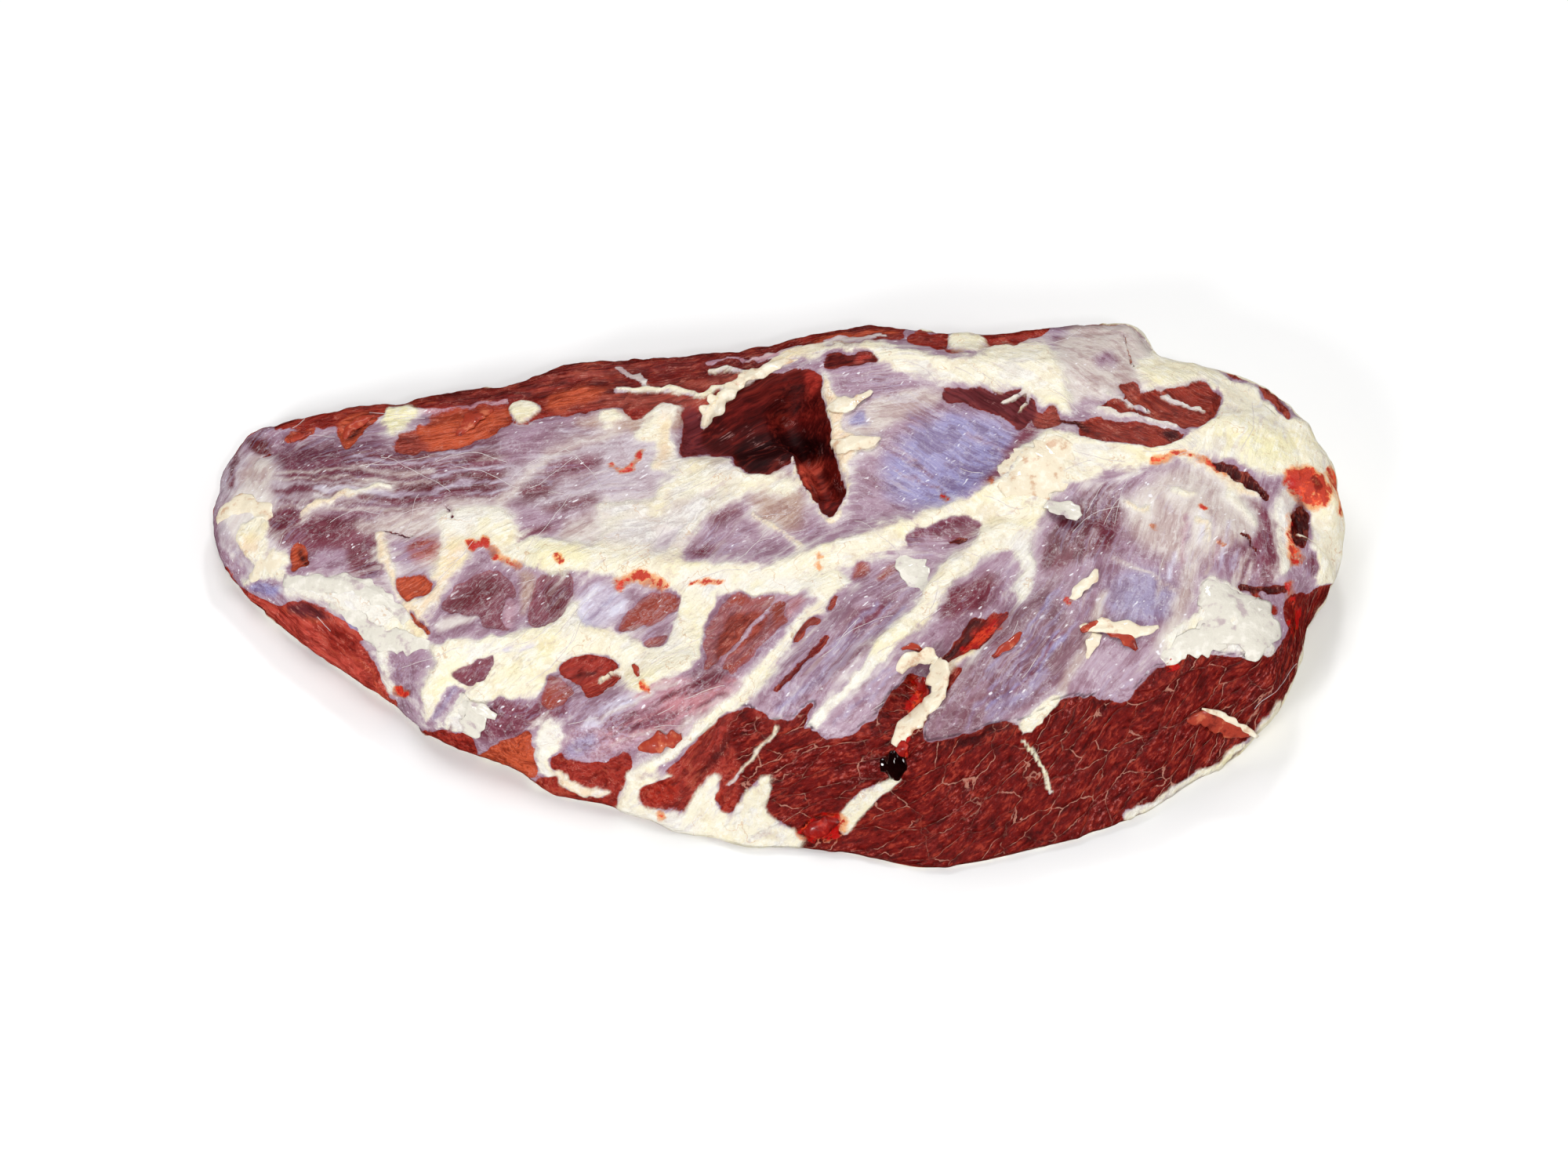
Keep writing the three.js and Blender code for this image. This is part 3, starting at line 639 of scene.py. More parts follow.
    ("seam's white foot", FAT, "white", 0, 6,
     px("860,730 1060,740 1100,750 1010,752 960,765 930,755 870,755")),
    ("fat by finger A", FAT, "cream", 0, 6, px("872,750 910,752 905,790 888,830 868,850 850,840 866,800")),
    ("raw pit", BARE, "side meat", 0, 2.5,
     px("709,860 716,847 728,839 758,836 790,853 788,868 750,891 741,885 736,874")),
    ("raw pit's dark heart", BARE, "dark meat", 3, 4, px("736,862 756,860")),
    ("flake in the raw pit", FAT, "peach", 2.5, 2.5, px("764,868 787,857")),
    ("purple oval", VEIL, "purple", 0, 5, px("880,706 890,692 908,690 912,700 895,712")),
    ("upper purple of seam", VEIL, "purple", 0, 6, px("1150,684 1170,672 1186,676 1182,690 1165,694")),
    ("upper purple of seam 2", VEIL, "purple", 0, 6,
     px("1180,684 1192,668 1210,661 1250,664 1254,676 1232,690 1200,696")),
    ("slit in the seam", BARE, "dark meat", 2.5, 2.5, px("1214,693 1230,689")),
    ("honey fat", FAT, "cream", 9, 8, px("850,622 900,607 1005,618")),
    ("milky stream", FAT, "milk white", 9, 9, px("850,585 935,598")),
    ("milky stream 2", FAT, "milk white", 8, 10, px("770,650 880,650 930,632")),
    ("milky stream 3", FAT, "milk white", 7, 9, px("860,700 870,680 890,662")),
    ("torn cream 1", FAT, "cream", 0, 5, px("815,545 832,535 850,540 845,560 822,566 808,562")),
    ("torn cream 2", FAT, "cream", 0, 5, px("762,528 785,520 792,538 770,545")),
    ("torn cream 3", FAT, "peach", 4, 4, px("850,520 845,550 850,580 840,592")),
    ("milky border of the back", FAT, "white", 0, 6, px("820,525 878,514 868,528 835,532")),
    ("yellow knob", FAT, "yellow", 0, 4, px("490,522 505,517 522,520 533,530 506,555 494,552 488,538")),
    ("cream knob", FAT, "cream", 0, 4, px("644,520 682,514 692,523 668,541 654,535")),
    ("dark left of the hollow", BARE, "maroon", 0, 7,
     px("862,522 893,515 930,560 932,580 880,584 862,577 872,550")),
    ("shoulder hollow", BARE, "hollow red", 0, 3.5,
     px("911,520 930,510 944,487 962,474 985,470 1000,478 1019,466 1044,470 1044,493 1054,516 1056,542 "
        "1078,614 1076,632 1064,655 1056,662 1029,632 1015,587 993,598 972,605 946,598 930,577 905,580 "
        "893,560")),
    ("shade of the hollow's mouth", BARE, "dark meat", 0, 8,
     px("895,545 925,512 950,500 985,520 990,545 930,580 905,575")),
    *fanned("strands of the hollow", BARE, ("dark meat", "hollow red", "pit", "plum meat"),
            px("925,530 960,506 1000,488 1040,480"), px("940,600 985,590 1030,580 1070,566"), 26, 2.4),
    ("floor of the hollow", BARE, "pit", 0, 7,
     px("935,565 960,548 1040,556 1062,568 1068,582 1015,584 972,604 946,597 936,585")),
    ("red wall of the hollow", BARE, "side meat", 0, 4, px("1019,468 1042,470 1043,492 1035,505 1026,500")),
    ("pocket meat", BARE, "pocket", 0, 4, px("1021,590 1046,588 1044,614 1032,625")),
    ("pocket's shade", BARE, "dark meat", 0, 6,
     px("1044,622 1058,608 1076,612 1074,634 1060,654 1046,645")),
    *fanned("strands of the pocket", BARE, ("hollow red", "pocket", "side meat", "pocket"),
            px("1022,602 1046,592"), px("1050,655 1074,640"), 12, 1.6),
    ("upper tag fat", FAT, "peach", 0, 3.5,
     px("1044,474 1056,481 1057,494 1072,509 1087,508 1093,514 1076,534 1074,548 1095,559 1123,561 "
        "1125,567 1114,575 1101,573 1080,587 1076,592 1058,542")),
    ("lower tag fat", FAT, "peach", 2.6, 2.5, px("1064,562 1084,612 1081,632 1070,655 1060,664")),
    ("left lip of the pocket", FAT, "peach", 1.2, 2.5, px("1014,585 1029,634 1056,664")),
    ("ribbon of the hollow", FAT, "peach", 4.5, 3, px("899,538 911,518 929,508 942,487 962,471 1044,440")),
    ("fat arc", FAT, "cream", 0, 7,
     px("1020,452 1035,440 1110,438 1200,455 1235,458 1300,436 1340,440 1372,520 1345,522 1290,492 "
        "1160,480 1075,444")),
    ("deep window", BARE, "dark meat", 0, 4,
     px("1046,470 1048,455 1058,446 1108,449 1120,460 1108,465 1090,462")),
    ("raw lump of the deep window", BARE, "side meat", 0, 3, px("1089,450 1106,450 1110,460 1092,460")),
    ("dark pocket of the arc", BARE, "maroon", 0, 5,
     px("1235,512 1280,504 1300,492 1322,515 1312,538 1255,522")),
    ("torn tip over the pocket", FAT, "milk white", 2.0, 2, px("1276,513 1294,507 1308,499")),
    ("torn tip over the pocket", FAT, "milk white", 1.3, 2, px("1299,526 1306,515 1310,506")),
    ("red corner of the arc", BARE, "window", 0, 4,
     px("1318,542 1325,525 1345,512 1351,535 1345,546 1330,548")),
    ("fat rim piece", FAT, "rim fat", 0, 4, px("1208,432 1218,427 1248,430 1262,440 1240,446 1215,443")),
    ("fat patch", FAT, "cream", 0, 6,
     px("1235,652 1262,622 1318,560 1342,546 1440,570 1500,562 1550,545 1562,510 1545,492 1560,474 "
        "1620,512 1640,535 1715,560 1735,620 1735,700 1712,745 1690,750 1672,740 1680,700 1660,615 "
        "1640,608 1590,590 1520,580 1372,614 1345,625 1320,680 1300,700 1262,680")),
    ("yellow of the fat patch", FAT, "yellow", 0, 12, px("1540,550 1600,540 1650,570 1640,595 1580,580")),
    ("top strip", FAT, "rim fat", 0, 8, px("1460,450 1560,470 1545,490 1500,490 1470,500 1450,480")),
    ("raw window, upper", BARE, "window meat", 0, 3.5,
     px("1392,515 1420,503 1533,484 1548,498 1566,506 1543,543 1522,549 1470,536 1445,522 1415,522")),
    ("white threads in it", FAT, "milk white", 2.2, 2.5, px("1480,500 1535,522")),
    ("raw window, lower", BARE, "window meat", 0, 3.5,
     px("1370,548 1384,530 1402,528 1500,548 1520,552 1500,564 1470,572 1384,556")),
    ("raw window's dark pit", BARE, "dark meat", 0, 3, px("1478,548 1500,546 1512,553 1496,560 1482,557")),
    ("pale threads of the window 2", FAT, "milk white", 2, 2.5, px("1395,516 1500,545")),
    ("pale threads of the window 3", FAT, "milk white", 1.6, 2.5, px("1410,500 1462,522")),
    ("raw window, small", BARE, "window", 0, 4, px("1424,488 1445,483 1456,494 1446,503 1430,498")),
    ("raw strip", BARE, "dark meat", 3, 3, px("1352,532 1384,543")),
    ("rim meat of the end", BARE, "window", 4, 4, px("1566,470 1618,500 1642,534")),
    ("crescent window", BARE, "dark meat", 0, 4,
     px("1538,591 1566,590 1612,613 1624,642 1600,628 1550,606")),
    ("orange lip", FAT, "peach", 4, 4, px("1512,578 1560,612 1600,630")),
    ("seam 3's arch", FAT, "white", 8, 6, px("1262,682 1292,688 1308,705 1310,730 1300,752")),
    ("rib seam 2", FAT, "cream", 11, 5, px("1285,670 1218,722 1197,755 1125,830")),
    ("rib seam 2, lower", FAT, "white", 5.5, 3, px("1130,828 1034,928")),
    ("rib seam 1", FAT, "cream", 9, 5, px("1062,745 968,868 905,925")),
    ("rib seam 1, lower", FAT, "white", 5, 4, px("905,925 835,978 805,990")),
    ("brown window of finger B", BARE, "rust", 0, 6,
     px("903,800 932,758 952,757 962,768 1002,756 1015,780 1000,800 925,866 900,870 886,858 902,835")),
    ("ruddy heart of finger B", BARE, "window", 0, 7,
     px("915,800 930,775 985,775 980,800 925,845 908,840")),
    ("strands over finger B 1", VEIL, "pink silver", 2.5, 5, px("1000,758 960,795 905,862")),
    ("plum foot of finger B", VEIL, "plum", 0, 8, px("885,850 935,850 920,870 892,880 878,868")),
    ("sheen of finger B", VEIL, "pink sheen", 0, 6, px("1000,765 1020,755 1022,775 1005,790")),
    ("long window", BARE, "rust", 0, 3,
     px("784,801 806,774 832,752 872,761 868,772 850,786 800,807 788,806")),
    ("small window below", BARE, "rust", 0, 3.5, px("816,820 830,808 852,803 845,816 830,825")),
    ("window 5", VEIL, "rust", 0, 3.5, px("1084,738 1092,720 1106,718 1108,730 1100,739")),
    ("window 6", VEIL, "rust", 0, 3.5, px("1116,738 1140,715 1146,728 1132,740")),
    ("slit 1", BARE, "window", 4, 3, px("1056,775 1066,763")),
    ("slit 2", BARE, "window", 5, 3, px("1022,812 1038,790")),
    ("slit 3", BARE, "cut meat", 3.5, 3, px("1052,812 1040,835 990,878")),
    ("torn meat left of the cut", BARE, "side meat", 0, 4,
     px("800,998 850,985 905,935 925,908 960,898 1000,925 1000,1000 960,1090 850,1070 790,1040")),
    ("cut face", BARE, "cut meat", 0, 4,
     px("930,908 958,896 966,914 985,922 1012,916 1030,902 1046,896 1022,932 1040,926 1052,939 1078,942 "
        "1104,925 1155,872 1166,860 1182,900 1190,905 1176,930 1180,943 1196,946 1216,933 1312,922 "
        "1348,892 1386,889 1430,899 1442,890 1456,868 1502,835 1522,828 1578,840 1622,832 1638,815 "
        "1655,775 1700,735 1760,760 1700,900 1600,1010 1400,1100 1160,1130 1000,1100 920,1080 950,1010")),
    ("torn meat's dark runnels 1", BARE, "cut meat", 6, 6, px("960,915 890,985")),
    ("pale runnel", FAT, "peach", 1.6, 3, px("990,925 965,960 930,1000")),
    ("shade under the fingers", BARE, "dark meat", 5, 8, px("1200,952 1290,928")),
    ("red slit", BARE, "wet red", 0, 5,
     px("1202,838 1222,812 1270,776 1288,772 1282,790 1240,835 1205,885 1196,900 1192,880")),
    ("dark of the red slit", BARE, "dark meat", 5, 4, px("1206,836 1250,790")),
    ("white in the red slit", FAT, "peach", 4, 4, px("1205,852 1240,832")),
    ("curl's bed", BARE, "wet red", 0, 3,
     px("1158,864 1172,857 1184,870 1187,888 1177,901 1158,906 1156,895 1166,880")),
    ("flesh under the curl", BARE, "cut meat", 0, 4,
     px("1128,905 1150,880 1164,866 1170,905 1150,950 1128,935")),
    ("seam 4", FAT, "cream", 0, 2.5, px("1343,886 1353,893 1312,937 1303,926 1303,918")),
    ("seam 4, lower", FAT, "rim fat", 2.2, 2.2, px("1306,945 1329,975 1339,1008 1346,1014")),
    ("fat under the clot", FAT, "cream", 0, 3,
     px("1153,990 1152,1000 1128,1012 1096,1042 1078,1068 1070,1052 1072,1036 1106,1006 1140,990")),
    ("foot fat", FAT, "cream", 0, 5,
     px("792,1008 812,995 850,986 862,990 828,1003 816,1014 824,1030 852,1034 872,1030 905,988 916,985 "
        "916,1018 926,1042 942,1030 950,1012 982,984 986,992 974,1020 976,1040 1016,1062 1030,1074 "
        "1000,1110 850,1090 780,1040")),
    ("white fuzz of the foot", FAT, "white", 4, 5, px("800,1038 890,1052")),
    ("red window of the foot 1", BARE, "wet red", 0, 4,
     px("816,1012 840,998 862,994 862,1016 848,1028 828,1022")),
    ("red window of the foot 2", BARE, "wet red", 0, 4, px("910,1008 930,1008 942,1025 926,1042")),
    ("lip of the foot", FAT, "rim fat", 4, 3, px("1432,1042 1472,1024 1582,954 1612,928 1632,898")),
    ("milky flap", FAT, "white", 0, 4,
     px("1534,740 1556,737 1616,778 1632,785 1612,818 1624,830 1600,836 1562,832 1515,815 1500,825 "
        "1485,838 1482,820 1505,795 1532,780")),
    ("dark slash", BARE, "dark meat", 4, 3, px("1584,750 1612,748 1640,755")),
    ("red slash", BARE, "wet red", 4, 4, px("1600,758 1630,778")),
    ("plum by the flap", VEIL, "plum", 0, 5, px("1612,800 1624,795 1634,810 1622,816")),
    ("purple at the end's foot", VEIL, "purple", 0, 6, px("1662,712 1675,702 1685,718 1682,735 1665,730")),
    ("end tissue", FAT, "white", 0, 5, px("1624,640 1640,625 1655,640 1648,720 1630,740 1632,690")),
    ("end tear", BARE, "dark meat", 0, 4, px("1650,655 1664,645 1676,660 1670,690 1656,700 1646,680")),
    ("dark slit of the end", BARE, "dark meat", 2.2, 2.5, px("1580,680 1592,690 1600,704")),
    ("vein 2", BARE, "vein", 1.4, 2, px("488,675 510,683 525,682")),
    ("vein 1", BARE, "vein", 1.6, 2, px("568,645 583,668")),
    ("flecks of the field 4", FAT, "white", 3.4, 5, px("1568,628 1596,668")),
    ("flecks of the field 3", FAT, "peach", 2.6, 4, px("1528,662 1540,676 1536,690")),
    ("flecks of the field 2", FAT, "cream", 3.4, 4, px("1500,622 1512,632 1526,630")),
    ("flecks of the field 1", FAT, "peach", 3, 4, px("1440,640 1455,650 1466,646")),
    ("crease 1 of the field", VEIL, "milk", 1.6, 2.5, px("1420,710 1480,740 1500,755 1520,760")),
    ("meat at the end's foot", BARE, "cut meat", 0, 4,
     px("1636,775 1652,752 1672,760 1690,742 1706,752 1716,738 1712,800 1665,880 1640,850 1648,805")),
    ("blood of the end", BLOOD, "", 0, 5,
     px("1635,612 1645,600 1668,598 1690,606 1696,632 1678,650 1660,646")),
    ("blood of the end 2", BLOOD, "", 0, 5, px("1690,596 1712,600 1724,620 1720,650 1706,655")),
    ("blood of the end 3", BLOOD, "", 4, 6, px("1652,660 1645,690 1650,715")),
    ("blood line 1", BLOOD, "", 3.5, 4, px("1644,752 1655,780 1648,810")),
    ("blood in the curl", BLOOD, "", 4, 3.5, px("1168,868 1179,882 1176,894 1162,902")),
    ("blood by the clot", BLOOD, "", 4, 4, px("1158,925 1150,945 1156,960")),
    ("blood spot 2", BLOOD, "", 3, 4, px("628,705 662,722")),
    ("blood spot 4", BLOOD, "", 5, 5, px("790,746 812,734 848,746")),
    ("blood thread", BLOOD, "", 1.5, 2, px("884,746 902,742 922,746")),
    ("blood line 2", BLOOD, "", 3, 3, px("1468,588 1510,578")),
    ("blood of the slit", BLOOD, "", 6, 5, px("1230,826 1268,796")),
    ("blood at the foot", BLOOD, "", 0, 4,
     px("1015,1054 1068,1036 1080,1040 1076,1066 1050,1074 1025,1072")),
    ("blood squiggle", BLOOD, "", 2.2, 2, px("782,592 795,601 810,592 820,578")),
    *(("drop of blood", BLOOD, "", width, 2, [(x, y), (x + 4, y + 4)]) for x, y, width in (
        (1552, 690, 1.8), (1470, 668, 1.4), (1535, 645, 1.8), (1043, 712, 2.2), (1046, 724, 2.2),
        (1360, 766, 2.2), (1203, 631, 2.5), (1263, 611, 2), (822, 872, 3.2), (826, 875, 3.2), (840, 1036, 4),
        (508, 880, 6), (1492, 846, 7), (600, 695, 5), (616, 692, 5), (714, 714, 4))),
    ("orange line of the end", BLOOD, "", 1.8, 2.5, px("1520,583 1540,590 1560,610")),
]

# Directions of the meat's strands in that view, in degrees from level, at chosen pixels.
GRAIN = [
    (450, 600, 12), (600, 590, 10), (700, 600, 12), (330, 640, 60), (420, 690, 40), (430, 760, -20),
    (560, 800, 40), (640, 840, 25), (800, 660, 10), (900, 680, 45), (620, 760, 45), (700, 760, 50),
    (820, 910, 28), (850, 780, 40), (950, 800, 42), (1060, 840, 45), (1100, 900, 40), (1280, 850, 45),
    (1420, 860, 45), (1470, 740, 80), (1600, 700, 85), (1390, 680, 60), (1500, 640, 60), (1200, 580, -32),
    (1120, 620, -30), (1260, 540, -30), (1030, 640, 22), (990, 530, 27), (1040, 570, 22), (950, 560, 32),
    (1050, 620, 20), (1480, 530, -28), (1420, 550, -15), (800, 490, 6), (500, 520, 8), (1080, 430, 5),
    (400, 800, -35), (1600, 560, 70), (1300, 1000, 25), (1050, 1000, 50), (900, 980, 50),
]
GRAIN_DIRECTIONS = (-34, 5, 28, 48, 66, 90)


def rounded(shape, closed):
    """Corners cut twice, so that a patch of few points has a round edge."""
    shape = np.array(shape, float)
    for _ in range(2):
        ahead = np.roll(shape, -1, 0)
        cut = np.stack([0.75 * shape + 0.25 * ahead, 0.25 * shape + 0.75 * ahead], 1).reshape(-1, 2)
        shape = cut if closed else np.vstack([shape[:1], cut[:-2], shape[-1:]])
    return shape


def inside_ring(points, ring):
    """Which points lie inside a closed ring."""
    inside = np.zeros(len(points), bool)
    x, y = points.T
    for a, b in zip(ring[:-1], ring[1:]):
        crosses = (a[1] > y) != (b[1] > y)
        run = (b[0] - a[0]) * (y - a[1]) / ((b[1] - a[1]) or 1e-9) + a[0]
        inside ^= crosses & (x < run)
    return inside


def cover_of(pixels, shape, width, soft):
    """How far a patch or a line covers each pixel: 0 outside, 1 inside, 0.5 on its edge."""
    closed = width == 0
    shape = rounded(shape, closed)
    reach = width + soft + 2
    low, high = shape.min(0) - reach, shape.max(0) + reach
    near = np.flatnonzero(((pixels > low) & (pixels < high)).all(1))
    at = pixels[near]
    if closed:
        ring = np.vstack([shape, shape[:1]])
        away = distance_to_line(at, ring)
        away = np.where(inside_ring(at, ring), -away, away)
    else:
        away = distance_to_line(at, shape) - width
    cover = np.zeros(len(pixels))
    cover[near] = np.clip(0.5 - away / (2 * soft), 0, 1)
    return cover


def linear(colour):
    """A colour as seen, turned into the light that a shader works with."""
    c = np.asarray(colour, float)
    return np.where(c <= 0.04045, c / 12.92, ((c + 0.055) / 1.055) ** 2.4)


def grain_angle(pixels):
    """The strands' direction at each pixel, in degrees from level, the near guides counting most."""
    total = np.zeros((len(pixels), 2))
    for x, y, degrees in GRAIN:
        weight = 1 / ((pixels[:, 0] - x) ** 2 + (pixels[:, 1] - y) ** 2 + 900) ** 1.5
        turn = 2 * math.radians(degrees)
        total += weight[:, None] * [math.cos(turn), math.sin(turn)]
    return np.degrees(np.arctan2(total[:, 1], total[:, 0])) / 2


def grain_weights(angle):
    """How much of each strand direction shows, shared between the two nearest ones."""
    directions = np.array([GRAIN_DIRECTIONS[-1] - 180, *GRAIN_DIRECTIONS, GRAIN_DIRECTIONS[0] + 180])
    weights = []
    for before, at, after in zip(directions[:-2], directions[1:-1], directions[2:]):
        apart = (angle - at + 90) % 180 - 90
        share = np.where(apart < 0, 1 + apart / (at - before), 1 - apart / (after - at))
        weights.append(np.clip(share, 0, 1))
    weights = np.array(weights).T
    return weights / weights.sum(1, keepdims=True)


slab = mesh_object("short_rib", vertices, faces)
normals = np.array([normal.vector for normal in slab.data.vertex_normals])
pixels = to_pixels(vertices)

# How well each vertex shows in the view: it faces the eye, and it isn't on the foot.
facing = -((vertices - eye) / np.linalg.norm(vertices - eye, axis=1)[:, None] * normals).sum(1)
seen = smooth((facing + 0.02) / 0.10) * (down < 1.9)

# What the view doesn't show: torn muscle with fat threads at the back, fat round the thick end and below.
rim_place = vertices * [0.35, 0.35, 1]
blotch = fractal_noise(vertices, 70, 3)
thread = lattice_noise(rim_place, 4.5, 5)
hidden_fat = np.clip(0.5 + 1.6 * (thread + 0.5 * blotch - 0.66), 0, 1)
hidden_fat = np.maximum(hidden_fat, smooth((vertices[:, 0] - 150) / 60 + blotch) * (down < 1.98))
underside = np.clip(0.5 + (blotch + 0.28) * 1.4, 0, 1)
layers = {name: np.zeros(len(vertices))
          for name in ("fat", "bare", "blood", "haze", "cut", "pulled", "deep", "glassy")}
layers["fat"] = np.where(down > 1.6, underside, hidden_fat)
layers["bare"] += 1
tones = {name: np.tile(linear(SWATCHES[swatch]), (len(vertices), 1))
         for name, swatch in (("veil", "lilac"), ("flesh", "back meat"), ("suet", "rim fat"))}

# What the view does show: each entry of the table laid over the ones before it, its edge strayed by noise.
painted = {name: np.zeros(len(vertices)) for name in layers}
shades = {name: tone.copy() for name, tone in tones.items()}
wander = np.column_stack([fractal_noise(pixels, 38, 11), fractal_noise(pixels, 38, 12)]) * 6
wander += np.column_stack([lattice_noise(pixels, 9, 13), lattice_noise(pixels, 9, 14)]) * 2.5
strayed = pixels + wander
TONE_OF_KIND = {VEIL: "veil", BARE: "flesh", FAT: "suet"}
SOFTER = {FAT: 2.0, BLOOD: 1.7}
HAZE_OF_VEIL = {
    "silver": 0.15, "silver blue": -0.05, "silver grey": 0.25, "lilac": 0.05, "strand": -0.25,
    "purple": -0.5, "plum": -0.5, "rust": -0.5, "window": -0.5, "maroon": -0.5, "milk": 0.18, "honey": -0.3,
    "pink sheen": 0.0, "pale blue": 0.12, "finger shade": -0.1, "pink silver": 0.0, "milk white": 0.45,
    "frost": 0.25,
}
HAZE_OF_BARE = -0.3
HAZE_SHARE = 0.9
HAZE_REACH = 24
PULLED_MEAT = ("low meat", "torn meat left of the cut")
DEEP_MEAT = (
    "shoulder hollow", "shade of the hollow's mouth", "floor of the hollow", "red wall of the hollow",
    "pocket meat", "pocket's shade", "deep window", "strands of the hollow", "strands of the pocket",
    "plum brow of the blue sheet", "dark left of the hollow", "dark pocket of the arc",
)
GLASSY = ("window plum", "window dark", "rust")
for name, kind, swatch, width, soft, shape in COVERING:
    cover = cover_of(strayed, shape, width, soft * SOFTER.get(kind, 1.0))
    if kind == BLOOD:
        painted["blood"] = np.maximum(painted["blood"], cover)
        continue
    changes = {"fat": kind == FAT, "bare": kind == BARE}
    if name == "cut face" or name in PULLED_MEAT:
        changes.update(cut=name == "cut face", pulled=name != "cut face")
    if kind == BARE:
        changes.update(deep=name in DEEP_MEAT, glassy=swatch in GLASSY)
    for layer, shows in changes.items():
        painted[layer] = mix(painted[layer], float(shows), cover)
    if kind == FAT:
        painted["haze"] = np.maximum(painted["haze"], cover_of(strayed, shape, width, HAZE_REACH))
    else:
        haze = HAZE_OF_BARE if kind == BARE else HAZE_OF_VEIL[swatch]
        painted["haze"] = mix(painted["haze"], haze, cover * HAZE_SHARE)
    shade = shades[TONE_OF_KIND[kind]]
    shade += (linear(SWATCHES[swatch]) - shade) * smooth(cover)[:, None]
for name in layers:
    layers[name] = mix(layers[name], painted[name], seen)
for name in tones:
    tones[name] = mix(tones[name], shades[name], seen[:, None])

# Fine form, in millimetres: fat stands proud in lumps, bare meat lies lower, and everything is gently uneven.
fat_stands = smooth((layers["fat"] - 0.35) / 0.3)
bare_sinks = smooth((layers["bare"] - 0.35) / 0.3) * (1 - fat_stands)
on_cut = smooth((down - 0.05) / 0.1) * smooth((1.0 - down) / 0.1)
lumps = fractal_noise(vertices, 16, 21, 3)
push = 1.1 * fractal_noise(vertices, 45, 31, 2) + 0.5 * fractal_noise(vertices, 9, 32, 2)
push += fat_stands * (1.2 + 1.3 * lumps) - 1.3 * bare_sinks * (down < 0.05)
push += on_cut * 1.1 * fractal_noise(vertices * [0.6, 1, 1.4], 13, 41, 3)
push += 1.2 * lattice_noise(vertices, 22, 51) * smooth(down / 0.4)
push += 0.9 * bare_sinks * (1 - 0.8 * layers["deep"]) * fractal_noise(vertices, 6, 52, 2)
push += 1.8 * fractal_noise(vertices, 24, 61, 3) * smooth(1.6 - 2 * np.abs(down - 0.95))
push *= smooth((1.9 - down) / 0.5) * smooth(vertices[:, 2] / 3)
vertices = vertices + normals * push[:, None]
slab.data.vertices.foreach_set("co", ((vertices - [*middle, 0]) * MM).ravel())
slab.data.update()


def give(name, kind, field, values):
    """One value for each vertex of the slab, which its material reads by this name."""
    made = slab.data.attributes.new(name, kind, "POINT")
    made.data.foreach_set(field, np.asarray(values, float).ravel())


for name, values in layers.items():
    give(name, "FLOAT", "value", values)
for name, values in tones.items():
    give(name, "FLOAT_COLOR", "color", np.column_stack([values, np.ones(len(values))]))
weights = grain_weights(grain_angle(pixels))
give("grain_low", "FLOAT_VECTOR", "vector", weights[:, :3])
give("grain_high", "FLOAT_VECTOR", "vector", weights[:, 3:])

# Distances along and down the side, for the grain of the cut. They start at the middle of the back.
RIM_DEPTH = 55
station_along = distance_along(station_at)
rim_start = station_along[SQUARES_ALONG + SQUARES_ACROSS + SQUARES_ALONG // 2]
rim_length = station_along[-1]
along_rim = (np.interp(around, np.arange(len(station_along)), station_along) - rim_start) % rim_length
slant = np.sqrt(station_profile[:, INSET] ** 2 + RIM_DEPTH ** 2)
down_rim = down * np.interp(around, np.arange(len(slant)), slant)
# The cut's edge reaches over the top, so its grain runs on there, measured back from the nearest station.
on_top = np.flatnonzero((layers["cut"] + layers["pulled"] > 0) & (down == 0))
from_edge = np.hypot(*(vertices[on_top, None, :2] - top_edge[None]).transpose(2, 0, 1))
along_rim[on_top] = (station_along[from_edge.argmin(1)] - rim_start) % rim_length
down_rim[on_top] = -from_edge.min(1)
give("rim", "FLOAT_VECTOR", "vector", np.column_stack([along_rim, down_rim, np.zeros(len(down))]) * MM)


class Wire:
    """A number in a material. Arithmetic on it adds Math nodes."""

    def __init__(self, finish, socket):
        self.finish = finish
        self.socket = socket

    def reckon(self, operation, first, second=0.0):
        return self.finish.node("ShaderNodeMath", {"operation": operation}, {0: first, 1: second})

    def __add__(self, other):
        return self.reckon("ADD", self, other)

    def __sub__(self, other):
        return self.reckon("SUBTRACT", self, other)

    def __rsub__(self, other):
        return self.reckon("SUBTRACT", other, self)

    def __mul__(self, other):
        return self.reckon("MULTIPLY", self, other)

    __radd__ = __add__
    __rmul__ = __mul__


def ink(*colour):
    """A seen colour as a shader's four numbers."""
    return (*linear(colour), 1.0)


